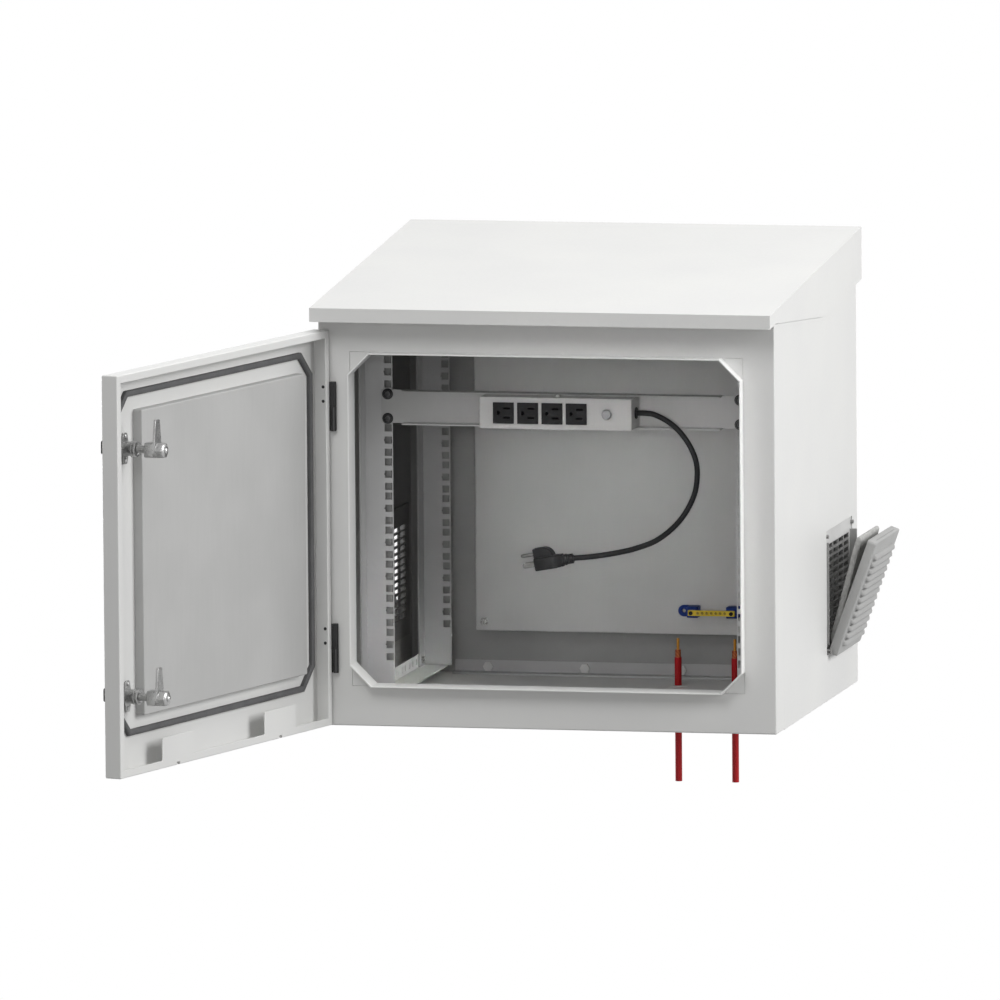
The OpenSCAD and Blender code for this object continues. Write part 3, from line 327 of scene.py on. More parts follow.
# a CAD sheet with its bends rounded to the fold radius and its cut edges just eased
def foldedSheet(nodeName, facts):
    bm = bareMesh(nodeName)
    if facts.get("fold"):
        bends = []
        sharp = math.radians(meshFacts["bendDeg"])
        for edge in bm.edges:
            if len(edge.link_faces) != 2 or not edge.is_convex or edge.calc_face_angle() < sharp:
                continue
            length = edge.calc_length()
            if min(f.calc_area() for f in edge.link_faces) / length > facts["wide"] * mm:
                bends.append(edge)
        if bends:
            bmesh.ops.bevel(bm, geom=bends, offset=facts["fold"] * mm, offset_type="OFFSET", segments=3, profile=0.5,
                            affect="EDGES", clamp_overlap=True)
    slot = slotOfNode[nodeName]
    made = showMesh(nodeName + ".sheet", bm, facts.get("finish", finishOfSlot[slot]), bodyOfNode[nodeName],
                    [nodeName], sharpDeg=50)
    if "second" in facts:  # another finish on the faces whose direction the test picks
        finish, chosen = facts["second"]
        made.data.materials.append(finish)
        for face in made.data.polygons:
            face.material_index = int(chosen(face.normal))
    if facts.get("ease"):
        addBevel(made, facts["ease"] * mm, segments=1, angleDeg=40)
    evenNormals(made)


def lathe(bm, profile, place, segments=40):
    rings = []
    for depth, radius in profile:
        ring = []
        for k in range(segments):
            a = 2 * math.pi * k / segments
            ring.append(bm.verts.new(place @ Vector((radius * math.cos(a), radius * math.sin(a), depth))))
        rings.append(ring)
    for low, high in zip(rings, rings[1:]):
        for k in range(segments):
            n = (k + 1) % segments
            bm.faces.new((low[k], low[n], high[n], high[k]))
    bm.faces.new(list(reversed(rings[0])))
    bm.faces.new(rings[-1])


def loftRings(bm, rings, closed=False):
    made = [[bm.verts.new(p) for p in ring] for ring in rings]
    pairs = list(zip(made, made[1:])) + ([(made[-1], made[0])] if closed else [])
    for low, high in pairs:
        count = len(low)
        for k in range(count):
            n = (k + 1) % count
            bm.faces.new((low[k], low[n], high[n], high[k]))
    if not closed:
        bm.faces.new(list(reversed(made[0])))
        bm.faces.new(made[-1])


def prism(bm, outline, low, high, place):
    under = [bm.verts.new(place @ Vector((x, y, low))) for x, y in outline]
    over = [bm.verts.new(place @ Vector((x, y, high))) for x, y in outline]
    count = len(outline)
    for k in range(count):
        n = (k + 1) % count
        bm.faces.new((under[k], under[n], over[n], over[k]))
    bm.faces.new(list(reversed(under)))
    bm.faces.new(over)


def roundedRect(width, height, radius, steps=5):
    points = []
    for cx, cy, start in ((1, 1, 0), (-1, 1, 90), (-1, -1, 180), (1, -1, 270)):
        for k in range(steps + 1):
            a = math.radians(start + 90 * k / steps)
            points.append((cx * (width / 2 - radius) + radius * math.cos(a),
                           cy * (height / 2 - radius) + radius * math.sin(a)))
    return points


# +Z of a local shape is turned to the given direction
def along(point, direction, up=(0, 0, 1)):
    z = Vector(direction).normalized()
    x = Vector(up).cross(z).normalized()
    y = z.cross(x)
    turn = Matrix((x, y, z)).transposed().to_4x4()
    return Matrix.Translation(Vector(point)) @ turn


# camera first, solved on the rack holes of the photograph
cameraFacts = {"azimuth": 12.442, "elevation": 6.996, "roll": -0.442, "lens": 679.2, "sensor": 36.0,
               "place": (5.1277, -24.051, 2.9877), "near": 1.0, "far": 400.0}


def addCamera(facts):
    a, e, r = (math.radians(facts[k]) for k in ("azimuth", "elevation", "roll"))
    right = Vector((math.cos(a), math.sin(a), 0))
    ahead = Vector((-math.sin(a) * math.cos(e), math.cos(a) * math.cos(e), -math.sin(e)))
    up = right.cross(ahead)
    tiltedRight = right * math.cos(r) + up * math.sin(r)
    tiltedUp = up * math.cos(r) - right * math.sin(r)
    data = bpy.data.cameras.new("camera")
    data.sensor_width = facts["sensor"]
    data.lens = facts["lens"]
    data.clip_start = facts["near"]
    data.clip_end = facts["far"]
    made = bpy.data.objects.new("camera", data)
    bpy.context.scene.collection.objects.link(made)
    turn = Matrix((tiltedRight, tiltedUp, -ahead)).transposed().to_4x4()
    made.matrix_world = Matrix.Translation(Vector(facts["place"])) @ turn
    bpy.context.scene.camera = made


addCamera(cameraFacts)

# free cords: the strip's lead with its moulded plug, and the two floor cables
leadFacts = {"diameter": 7.2 * mm, "y": -451.5 * mm, "seat": (100.5, 138.35), "between": 4,
             "steps": [(1.5, 0), (13.5, 0), (25.5, -2), (43.5, -11), (59.5, -25), (72.5, -44), (79.5, -63),
                       (80.5, -83), (76.5, -105), (64.5, -129), (47.5, -149), (24.5, -166), (-1.5, -176),
                       (-19, -180.5), (-36.5, -184), (-58.5, -187.5), (-82.5, -190)]}
cableFacts = {"diameter": 9.2 * mm, "xs": (79 * mm, 155 * mm), "y": -94 * mm, "top": -265 * mm, "drop": 124 * mm,
              "steps": 15}


def smoothRoute(points, steps):
    route = []
    padded = [points[0] * 2 - points[1]] + points + [points[-1] * 2 - points[-2]]
    for i in range(1, len(padded) - 2):
        p0, p1, p2, p3 = padded[i - 1:i + 3]
        for k in range(steps):
            t = k / steps
            route.append(0.5 * (2 * p1 + (p2 - p0) * t + (2 * p0 - 5 * p1 + 4 * p2 - p3) * t * t
                                + (3 * p1 - p0 - 3 * p2 + p3) * t ** 3))
    route.append(points[-1])
    return route


def cordCurve(name, route, diameter, finish, body, node):
    data = bpy.data.curves.new(name, "CURVE")
    data.dimensions = "3D"
    data.bevel_depth = diameter / 2
    data.bevel_resolution = 6
    data.use_fill_caps = True
    spline = data.splines.new("POLY")
    spline.points.add(len(route) - 1)
    for point, place in zip(spline.points, route):
        point.co = (*place, 1.0)
    spline.use_smooth = True
    data.materials.append(finish)
    made = bpy.data.objects.new(name, data)
    bpy.context.scene.collection.objects.link(made)
    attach(made, body)
    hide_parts(node)
    return made


# moulded plug: ribbed sleeve with windows, flat grip and a raised back over the earth pin
plugFacts = {"back": (18, -451.5, -51.65), "tilt": 10, "length": 51,
             "sleeve": [(0, 9, 9, 4.2), (17, 14, 13.4, 4.4)],
             "ribs": [(0.6, 2.6, 10.6, 10.6), (5, 7, 12.4, 12.2), (9.4, 11.4, 14.2, 13.8), (13.8, 17.2, 16.2, 15.4)],
             "grip": [(16.6, 15.4, 15.6, 3.6), (18, 16.4, 17.6, 3.4), (24, 16.8, 22.6, 2.8), (28, 16.8, 24, 2.4),
                      (49.8, 16.8, 24, 2.2), (50.7, 16, 23.2, 2), (51, 14.8, 22, 1.6)],
             "ribEdge": 0.4, "ribRound": 4,
             "web": [(3, -1.6), (6.4, -1.6), (6.4, 1.6), (3, 1.6)], "webFrom": 1, "webTo": 17,
             "raised": [(5, 51), (19.4, 51), (20.2, 50.2), (20.4, 48.8), (20.4, 37), (20, 34.4), (18.9, 31.6),
                        (17, 29), (14.4, 26.8), (11.2, 25.2), (5, 23.6)],
             "raisedHalf": 9}
bladeFacts = {"earthUp": 13, "earth": [(0, 2.4), (14.6, 2.4), (16.4, 2.1), (17.6, 1.4), (18, 0.6)],
              "bladeUp": 0.5, "apart": 6.35, "halfThick": 0.75,
              "blade": [(-3.15, 0), (3.15, 0), (3.15, 13.6), (2.6, 15.2), (1.4, 16), (-1.4, 16), (-2.6, 15.2),
                        (-3.15, 13.6)]}
tilted = math.radians(-90 - plugFacts["tilt"])
# +Z leaves the plug along its pins
plugPlace = Matrix.Translation(Vector(plugFacts["back"]) * mm) @ Matrix.Rotation(tilted, 4, "Y")
plugSide = plugPlace @ Matrix.Rotation(math.radians(90), 4, "X")


def scaled(points):
    return [(a * mm, b * mm) for a, b in points]


def blockLoft(bm, sections, place):
    rings = []
    for depth, tall, wide, radius in sections:
        outline = roundedRect(tall * mm, wide * mm, radius * mm, 6)
        rings.append([place @ Vector((x, y, depth * mm)) for x, y in outline])
    loftRings(bm, rings)


def mouldedPlug(facts):
    bm = bmesh.new()
    blockLoft(bm, facts["sleeve"], plugPlace)
    edge, radius = facts["ribEdge"], facts["ribRound"]
    for start, stop, tall, wide in facts["ribs"]:
        blockLoft(bm, [(start, tall - 2 * edge, wide - 2 * edge, radius), (start + edge, tall, wide, radius),
                       (stop - edge, tall + edge, wide + edge, radius), (stop, tall - edge, wide - edge, radius)],
                  plugPlace)
    for turn in (0, 90, 180, 270):  # webs that join the ribs
        web = plugPlace @ Matrix.Rotation(math.radians(turn), 4, "Z")
        prism(bm, scaled(facts["web"]), facts["webFrom"] * mm, facts["webTo"] * mm, web)
    blockLoft(bm, facts["grip"], plugPlace)
    body = showMesh("plugMoulding", bm, cordJacket, "cabinet", ["cord_plug"], sharpDeg=50)
    bm = bmesh.new()
    prism(bm, scaled(facts["raised"]), -facts["raisedHalf"] * mm, facts["raisedHalf"] * mm, plugSide)
    raised = showMesh("plugRaisedBack", bm, cordJacket, "cabinet", sharpDeg=40)
    addBevel(raised, 1.4 * mm, segments=3, angleDeg=50)
    return body, raised


def plugBlades(facts):
    bm = bmesh.new()
    out = plugPlace @ Matrix.Translation(Vector((0, 0, plugFacts["length"])) * mm)
    lathe(bm, scaled(facts["earth"]), out @ Matrix.Translation(Vector((facts["earthUp"], 0, 0)) * mm), 24)
    for side in (-1, 1):
        blade = out @ Matrix.Translation(Vector((facts["bladeUp"], side * facts["apart"], 0)) * mm)
        blade = blade @ Matrix.Rotation(math.radians(90), 4, "X")
        prism(bm, scaled(facts["blade"]), -facts["halfThick"] * mm, facts["halfThick"] * mm, blade)
    made = showMesh("plugBlades", bm, nickelBlade, "cabinet", ["plug_pins"])
    addBevel(made, 0.2 * mm, segments=1)
    return made


leadPoints = [Vector(((leadFacts["seat"][0] + dx) * mm, leadFacts["y"], (leadFacts["seat"][1] + dz) * mm))
              for dx, dz in leadFacts["steps"]]
leadRoute = smoothRoute(leadPoints, leadFacts["between"])
plugBody, plugRaised = mouldedPlug(plugFacts)
plugMetal = plugBlades(bladeFacts)
powerLead = cordCurve("powerLead", leadRoute, leadFacts["diameter"], cordJacket, "cabinet",
                      "power_cord")
for cableName, cableX, cableNode in (("floorCableLeft", cableFacts["xs"][0], "left_floor_cable"),
                                     ("floorCableRight", cableFacts["xs"][1], "right_floor_cable")):
    top = Vector((cableX, cableFacts["y"], cableFacts["top"]))
    cableSteps = cableFacts["steps"]
    cableRoute = [top - Vector((0, 0, cableFacts["drop"] * k / cableSteps)) for k in range(cableSteps + 1)]
    cable = cordCurve(cableName, cableRoute, cableFacts["diameter"], redJacket, "cabinet", cableNode)
print("camera and cords placed")

# folded steel of the body, door, rack and strip, with sizes in millimetres
railFold = {"fold": 1.2, "wide": 6, "ease": 0.3}
hingeEase = {"ease": 0.4}
outletEase = {"ease": 0.5}
# the grille frames take the darker grey painted as shade
grilleEase = {"ease": 0.3, "finish": grillePaintedShade}
foldFacts = {
    "roof_hood": {"fold": 2.2, "wide": 6, "ease": 0.4},
    "front_frame": {"fold": 2.0, "wide": 6, "ease": 0.3},
    "door_skin": {"fold": 2.6, "wide": 5, "ease": 0.3},
    "door_stiffener": {"fold": 2.0, "wide": 6, "ease": 0.3, "finish": galvanisedSheet},
    "corner_gussets": {"ease": 0.2},
    # the panels' inner faces take the darker grey painted as the shade inside the cabinet
    "left_panel": {"ease": 0.3, "second": (innerWallPaintedShade, lambda normal: normal.x > 0.9)},
    "right_panel": {"ease": 0.3, "second": (innerWallPaintedShade, lambda normal: normal.x < -0.9)},
    "rear_panel": {"ease": 0.3, "second": (innerWallPaintedShade, lambda normal: normal.y < -0.9)},
    "mounting_plate": {"fold": 1.5, "wide": 6, "ease": 0.3},
    "front_left_rail": railFold, "front_right_rail": railFold,
    "rear_left_rail": railFold, "rear_right_rail": railFold,
    "rail_brackets": {"fold": 1.0, "wide": 6, "ease": 0.2, "finish": powderCoat},
    "rear_floor_angle": {"fold": 1.5, "wide": 6, "ease": 0.3},
    "strip_channel": {"fold": 1.0, "wide": 6, "ease": 0.3, "finish": galvanisedSheet},
    "strip_box": {"fold": 1.6, "wide": 10, "ease": 0.2},
    "upper_hinge_base": hingeEase, "lower_hinge_base": hingeEase,
    "upper_hinge_leaf": hingeEase, "lower_hinge_leaf": hingeEase,
    "outlet_1": outletEase, "outlet_2": outletEase, "outlet_3": outletEase, "outlet_4": outletEase,
    "bus_insulators": {"ease": 0.8}, "bus_bar": {"ease": 0.4}, "bus_screws": {"ease": 0.3, "finish": blackNylon},
    "plate_studs": {"ease": 0.4}, "floor_bolts": {"ease": 0.6, "finish": paleZinc},
    "strip_grommet": {"ease": 0.5}, "cable_glands": {"ease": 0.3},
    "left_vent_frame": grilleEase, "right_vent_frame": grilleEase, "earth_screw": {"ease": 0.4}}
for sheetName, sheetFacts in foldFacts.items():
    foldedSheet(sheetName, sheetFacts)
print("folded sheets dressed:", len(foldFacts))


# rings that follow the chamfered mouth: the bent rim and the door's seal
def chamferedRect(width, height, cut):
    x, y = width / 2, height / 2
    return [(x, -y + cut), (x, y - cut), (x - cut, y), (-x + cut, y), (-x, y - cut), (-x, -y + cut), (-x + cut, -y),
            (x - cut, -y)]


def mouthRing(name, facts, place, finish, body, node):
    rings = []
    for inset, depth in facts["profile"]:
        cut = facts["cut"] - inset * (2 - math.sqrt(2))
        outline = chamferedRect(facts["width"] - 2 * inset, facts["height"] - 2 * inset, cut)
        rings.append([place @ (Vector((facts["x"] + x, depth, facts["z"] + z)) * mm) for x, z in outline])
    bm = bmesh.new()
    loftRings(bm, rings, closed=True)
    showMesh(name, bm, finish, body, [node], sharpDeg=40)


# the open door's own frame: u along the door from its hinge axis, v through it, z up
hingeFacts = {"axis": (-279.1, -535.1, 0), "open": 105.3}
doorTurn = (Matrix.Translation(Vector(hingeFacts["axis"]) * mm)
            @ Matrix.Rotation(math.radians(-hingeFacts["open"]), 4, "Z"))
rimFacts = {"width": 517, "height": 434, "cut": 28, "x": 0, "z": 4,
            "profile": [(0, -513), (0, -547.2), (0.25, -547.8), (0.7, -548), (1.3, -548), (1.75, -547.8), (2, -547.2),
                        (2, -513)]}
sealFacts = {"width": 527, "height": 441, "cut": 30, "x": 283.4, "z": 4,
             "profile": [(0.6, -24.1), (0.6, -20.4), (1.1, -19.2), (2.2, -18.5), (4.5, -18.2), (6.8, -18.5),
                         (7.9, -19.2), (8.4, -20.4), (8.4, -24.1)]}
mouthRing("bentRim", rimFacts, Matrix.Identity(4), rimPaintedHighlight, "cabinet", "opening_rim")
mouthRing("doorSeal", sealFacts, doorTurn, doorSeal, "door", "door_gasket")
print("rim and seal swept")

# quarter-turn latches: diamond flange, barrel with two ring nuts, tapered cam and a wing knob outside
latchFacts = {"u": 516.8, "zs": {"lower": -165, "upper": 151},
              "barrel": [(-28.6, 4.2), (-28.6, 12), (-28.2, 12.7), (-27.4, 13), (-25.6, 13), (-25.6, 9.2),
                         (-12.4, 9.2), (-12.4, 9.8), (-12, 10.2), (-9, 10.2), (-8.6, 9.8), (-8.6, 8.6), (-8, 8.6),
                         (-8, 9.8), (-7.6, 10.2), (-4.6, 10.2), (-4.2, 9.8), (-4.2, 7.2), (-5.1, 6.7), (-5.1, 4.2)],
              "flange": [(-10, 0), (-5.2, -17.6), (-3.4, -20), (3.4, -20), (5.2, -17.6), (10, 0), (5.2, 17.6),
                         (3.4, 20), (-3.4, 20), (-5.2, 17.6)],
              "flangeFrom": -24.1, "flangeTo": -21.4, "screwApart": 15.5,
              "screw": [(0, 2.9), (0.7, 2.8), (1.3, 2.2), (1.6, 1.2), (0.9, 1.0)],
              "neck": [(-4.8, 5), (8.4, 5), (9, 5.6)],
              "hub": [(8.4, 13, 13, 3), (10.4, 19, 19, 3.4), (22.4, 19, 19, 3.4)],
              "armRound": 10, "armFrom": 22.4, "armTo": 25.4,
              "armTip": [(-5.4, -38), (-4.4, -39), (4.4, -39), (5.4, -38)],
              "washer": [(25.4, 9.4), (26, 9.4), (26.3, 9)],
              "nutFrom": 26.3, "nutTo": 35, "nutFlats": 18, "crown": [(35, 8.9), (36.2, 7.4), (36.6, 5.4)],
              "stud": [(36, 3.6), (37.6, 3.5), (38.4, 2.8), (38.8, 1.4)],
              "collar": [(-35.4, 8.2), (-34.8, 9), (-29.6, 9), (-28.9, 8.4)], "shaft": [(-28.9, 4), (-5, 4)],
              "wing": (9.6, 17.6, 3), "wingFrom": -54.9, "wingTo": -35.2}


def hexOutline(flats):
    r = flats / math.sqrt(3)
    return [(r * math.cos(math.radians(60 * k)), r * math.sin(math.radians(60 * k))) for k in range(6)]


def quarterTurnLatch(side, facts):
    place = doorTurn @ Matrix.Translation(Vector((facts["u"], 0, facts["zs"][side])) * mm)
    place = place @ Matrix.Rotation(math.radians(-90), 4, "X")  # +Z now leaves the door's inside, -Y points up
    bm = bmesh.new()
    lathe(bm, scaled(facts["barrel"]), place, 48)
    prism(bm, scaled(facts["flange"]), facts["flangeFrom"] * mm, facts["flangeTo"] * mm, place)
    for down in (-1, 1):  # flange screws
        at = place @ Matrix.Translation(Vector((0, down * facts["screwApart"], facts["flangeTo"])) * mm)
        lathe(bm, scaled(facts["screw"]), at, 20)
    housing = showMesh(side + "LatchHousing", bm, castZinc, "door", [side + "_latch_housing"])
    addBevel(housing, 0.35 * mm, angleDeg=50)
    bm = bmesh.new()
    lathe(bm, scaled(facts["neck"]), place, 40)
    blockLoft(bm, facts["hub"], place)
    radius = facts["armRound"]
    arm = [(radius * math.cos(math.radians(a)), radius * math.sin(math.radians(a))) for a in range(-10, 191, 10)]
    prism(bm, scaled(arm + facts["armTip"]), facts["armFrom"] * mm, facts["armTo"] * mm, place)
    lathe(bm, scaled(facts["washer"]), place, 32)
    prism(bm, scaled(hexOutline(facts["nutFlats"])), facts["nutFrom"] * mm, facts["nutTo"] * mm, place)
    lathe(bm, scaled(facts["crown"]), place, 32)
    lathe(bm, scaled(facts["stud"]), place, 28)
    cam = showMesh(side + "LatchCam", bm, castZinc, side + "_latch", [side + "_latch_cam"])
    addBevel(cam, 0.5 * mm, angleDeg=50)
    bm = bmesh.new()
    lathe(bm, scaled(facts["collar"]), place, 40)
    prism(bm, scaled(roundedRect(*facts["wing"])), facts["wingFrom"] * mm, facts["wingTo"] * mm, place)
    lathe(bm, scaled(facts["shaft"]), place, 24)
    knob = showMesh(side + "LatchKnob", bm, blackOxide, side + "_latch", [side + "_latch_spindle"])
    addBevel(knob, 0.8 * mm, segments=3, angleDeg=50)


for latchSide in latchFacts["zs"]:
    quarterTurnLatch(latchSide, latchFacts)
print("latches built")

# tilting vents: a shallow tray with pressed louvres for a cover, and a felt pad behind it
ventFacts = {"pivot": (302.5, -118, -200.5), "tilt": 19.8, "face": 10.5, "corner": 4, "width": 158, "foot": -3,
             "height": 159, "tray": [(8.5, 2), (-1.5, 2), (-1.5, 0.3), (-1, 0), (8.9, 0), (9.8, 0.35), (10.3, 1),
                                     (10.5, 2)],
             "count": 13, "pitch": 10, "first": 13.5, "half": 64, "taper": 7, "root": 0.4, "leastRise": 0.02,
             "endTurns": (0, 25, 45, 60, 72, 81, 88),
             "blade": [(-0.4, 4.7), (1.2, 4.4), (2.8, 3.5), (4.0, 2.1), (4.8, 0.3), (5.0, -1.4), (4.5, -1.7),
                       (3.6, 0.2), (2.2, 1.8), (-0.4, 2.4)],
             # the last three entries size a dark strip painted on the top wall as the shadow of a slot
             "slot": (6.2, 116, 1.4), "shadowStripDeep": 1, "shadowStripProud": 0.1}
padFacts = {"axis": (302.8, -118, -186.5), "tilt": 14.9985, "width": 124, "thick": 7.6, "height": 139,
            "rows": 46, "columns": 120, "topRound": 0.8, "sideRound": 1.0, "footLeast": 0.25, "headLeast": 0.55,
            "sideLeast": 0.5, "pleat": 7.75, "pleatDeep": 0.4, "fuzz": 0.35, "fuzzGrain": (0.4, 0.12, 0.12)}


def sideTurn(point, tiltDeg, side):
    turn = Matrix.Translation(Vector(point) * mm) @ Matrix.Rotation(math.radians(tiltDeg), 4, "Y")
    return Matrix.Scale(side, 4, (1, 0, 0)) @ turn


def louvreTray(name, side, facts, node, body):
    place = sideTurn(facts["pivot"], facts["tilt"], side)
    middle = facts["foot"] + facts["height"] / 2
    rings = []
    for depth, inset in facts["tray"]:
        outline = roundedRect(facts["width"] - 2 * inset, facts["height"] - 2 * inset, facts["corner"] - inset)
        rings.append([place @ (Vector((depth, y, middle + z)) * mm) for y, z in outline])
    bm = bmesh.new()
    loftRings(bm, rings)
    showMesh(name, bm, greyAsa, body, [node], sharpDeg=40)
    across, length, wide = facts["slot"]  # dark strip along the top wall, painted as the shadow of a slot
    top = facts["foot"] + facts["height"]
    bm = bmesh.new()
    strip = [(across - wide / 2, -length / 2), (across + wide / 2, -length / 2), (across + wide / 2, length / 2),
             (across - wide / 2, length / 2)]
    prism(bm, scaled(strip), (top - facts["shadowStripDeep"]) * mm, (top + facts["shadowStripProud"]) * mm, place)
    showMesh(name + "PaintedShadowStrip", bm, grillePaintedShade, body)


def pressedBlades(name, side, facts, body):
    place = sideTurn(facts["pivot"], facts["tilt"], side)
    bm = bmesh.new()
    half, taper, root = facts["half"], facts["taper"], facts["root"]
    stops = [half - taper + taper * math.sin(math.radians(a)) for a in facts["endTurns"]]
    stops = [-y for y in reversed(stops)] + stops
    for k in range(facts["count"]):
        z0 = facts["first"] + facts["pitch"] * k
        rings = []
        for y in stops:
            t = max(0.0, (abs(y) - half + taper) / taper)
            grow = math.sqrt(max(facts["leastRise"], 1 - t * t))
            rings.append([place @ (Vector((facts["face"] - root + (x + root) * grow, y, z0 + z)) * mm)
                          for x, z in facts["blade"]])
        loftRings(bm, rings)
    showMesh(name, bm, greyAsa, body, sharpDeg=50)


# how far a rounded edge has swelled, from 0 at its rim to 1 where the round ends
def swell(distance, radius):
    share = max(0.0, min(1.0, distance / radius))
    return math.sqrt(1 - (1 - share) ** 2)


def feltPad(name, side, facts, node, body):
    place = sideTurn(facts["axis"], facts["tilt"], side)
    bm = bmesh.new()
    rings = []
    halfWide, halfThick = facts["width"] / 2, facts["thick"] / 2
    rows, columns = facts["rows"], facts["columns"]
    for k in range(rows + 1):
        z = -halfThick + (facts["height"] + halfThick) * k / rows
        foot = max(facts["footLeast"], swell(z + halfThick, halfThick))
        head = max(facts["headLeast"], swell(facts["height"] - z, facts["topRound"]))
        ring = []
        for edge in (1, -1):
            for j in range(columns + 1):
                y = edge * halfWide * (1 - 2 * j / columns)
                rim = max(facts["sideLeast"], swell(halfWide - abs(y), facts["sideRound"]))
                x = edge * halfThick * foot * head * rim
                pleat = facts["pleatDeep"] * (math.sin(2 * math.pi * y / facts["pleat"]) - 1)
                fuzz = facts["fuzz"] * noise.noise(Vector((x, y, z)) * Vector(facts["fuzzGrain"]))
                ring.append(place @ (Vector((x + edge * min(0.0, fuzz + pleat), y, z)) * mm))
        rings.append(ring)
    loftRings(bm, rings)
    made = showMesh(name, bm, filterMat, body, [node], sharpDeg=60)


# light border round the grille, and the two lips that the shut cover closes over
borderFacts = {"seat": 298.2, "thick": 0.4, "middle": (-118, -123.5), "outer": (169, 161), "inner": (138, 124),
               "corner": 2, "lip": (75, 76.4), "lipFrom": 298.4, "lipTo": {-1: 301.6, 1: 308.2}, "lipFoot": -192,
               "lipHead": -58}


def grilleBorder(name, side, facts):
    flip = Matrix.Scale(side, 4, (1, 0, 0))
    (midY, midZ), seat, thick = facts["middle"], facts["seat"], facts["thick"]
    rings = []
    for depth, (wide, tall) in ((seat, facts["inner"]), (seat, facts["outer"]), (seat + thick, facts["outer"]),
                                (seat + thick, facts["inner"])):
        outline = roundedRect(wide, tall, facts["corner"])
        rings.append([flip @ (Vector((depth, midY + y, midZ + z)) * mm) for y, z in outline])
    bm = bmesh.new()
    loftRings(bm, rings, closed=True)
    # the border takes the paler grey painted as light
    made = showMesh(name, bm, asaBorderPaintedLight, "cabinet")
    addBevel(made, 0.25 * mm, segments=1)
    bm = bmesh.new()
    near, far = facts["lip"]
    for end, tip in facts["lipTo"].items():
        plate = [(facts["lipFrom"], midY + end * near), (tip, midY + end * near), (tip, midY + end * far),
                 (facts["lipFrom"], midY + end * far)]
        prism(bm, scaled(plate), facts["lipFoot"] * mm, facts["lipHead"] * mm, flip)
    showMesh(name + "Lips", bm, greyAsa, "cabinet")


for ventSide, ventSign in (("left", -1), ("right", 1)):
    grilleBorder(ventSide + "GrilleBorder", ventSign, borderFacts)
    louvreTray(ventSide + "CoverTray", ventSign, ventFacts, ventSide + "_vent_cover", ventSide + "_cover")
    pressedBlades(ventSide + "CoverBlades", ventSign, ventFacts, ventSide + "_cover")
    feltPad(ventSide + "FilterPad", ventSign, padFacts, ventSide + "_vent_filter", ventSide + "_filter")
print("vents dressed")

# lip folded in behind each rail's holes
lipFacts = {"outer": 264.55, "inner": 233, "thick": 1.5, "behind": 18, "faces": (-422, -84), "foot": -243.5,
            "head": 253.5}


def railLips(facts):
    bm = bmesh.new()
    out, reach, thick = facts["outer"], facts["inner"], facts["thick"]
    for side in (-1, 1):
        for y in facts["faces"]:
            back = y + facts["behind"]
            section = [(out, y), (out, back), (reach, back), (reach, back - thick), (out - thick, back - thick),
                       (out - thick, y)]
            prism(bm, scaled([(side * x, depth) for x, depth in section]), facts["foot"] * mm, facts["head"] * mm,
                  Matrix.Identity(4))
    # the lips take the darker grey painted as their shade
    made = showMesh("railLips", bm, innerWallPaintedShade, "cabinet")
    addBevel(made, 0.5 * mm)


railLips(lipFacts)

# socket screws with cup washers that hold the strip to the rack
rackScrewFacts = {"xs": (-232.55, 232.55), "y": -425.5, "z": 138.35, "apart": 15.875,
                  "head": [(0, 7.2), (0.7, 7.2), (1.5, 6.6), (2, 5.6), (4.2, 5.4), (5.4, 4.7), (5.9, 3.4), (5.9, 2.4),
                           (4, 2.2)]}


def rackScrews(facts):
    bm = bmesh.new()
    for x in facts["xs"]:
        for up in (-1, 1):
            place = along(Vector((x, facts["y"], facts["z"] + up * facts["apart"])) * mm, (0, -1, 0))
            lathe(bm, scaled(facts["head"]), place, 32)
    showMesh("rackSocketScrews", bm, blackOxide, "cabinet", ["rack_screws"], sharpDeg=30)


rackScrews(rackScrewFacts)

# brass web inside the earth bar, the blind bottom of its threaded holes, in brass painted darker as their shade
webFacts = {"from": (85, -51.5, -175), "to": (145, -50, -170)}


def earthBarWeb(facts):
    bm = bmesh.new()
    (x0, y0, z0), (x1, y1, z1) = facts["from"], facts["to"]
    prism(bm, scaled([(x0, y0), (x1, y0), (x1, y1), (x0, y1)]), z0 * mm, z1 * mm, Matrix.Identity(4))
    showMesh("earthBarWeb", bm, brassPaintedHoleShade, "cabinet")


earthBarWeb(webFacts)

# push button, a little slimmer than its hole so that the dark gap shows
buttonFacts = {"seat": (67.5, -475.5, 138.35), "cap": [(-2.4, 5.9), (3.4, 5.9), (3.8, 5.7), (4, 5.2), (4, 4.2)]}


def pushButton(facts):
    bm = bmesh.new()
    lathe(bm, scaled(facts["cap"]), along(Vector(facts["seat"]) * mm, (0, -1, 0)), 40)
    showMesh("pushButton", bm, buttonCap, "button", ["strip_button"], sharpDeg=30)


pushButton(buttonFacts)

# black screw ends of the hinge leaves, on the inside of the door's hinge flange
hingeScrewFacts = {"u": 6.5, "v": -11.6, "zs": (-157.3, -138.7, 156.7, 175.3),
                   "end": [(0, 2.1), (0.5, 2.1), (1, 1.8), (1.4, 1.2), (1.5, 0.5)]}


def hingeScrewEnds(facts):
    bm = bmesh.new()
    for height in facts["zs"]:
        seat = doorTurn @ Matrix.Translation(Vector((facts["u"], facts["v"], height)) * mm)
        lathe(bm, scaled(facts["end"]), seat @ Matrix.Rotation(math.radians(90), 4, "Y"), 20)
    showMesh("hingeScrewEnds", bm, blackOxide, "door", sharpDeg=30)


hingeScrewEnds(hingeScrewFacts)
print("small screws and button turned")

# studio: pale floor far below, white surround, soft lamps; the floor's shadow fades out before the plane ends
stageFacts = {"floorZ": -1.3, "floorSize": 6.0, "floor": "#FAFAFA", "bounce": "#8C8C8C", "fadeFrom": 1.5,
              "fadeTo": 2.8, "whiteShare": 0.9, "ambient": 0.12}


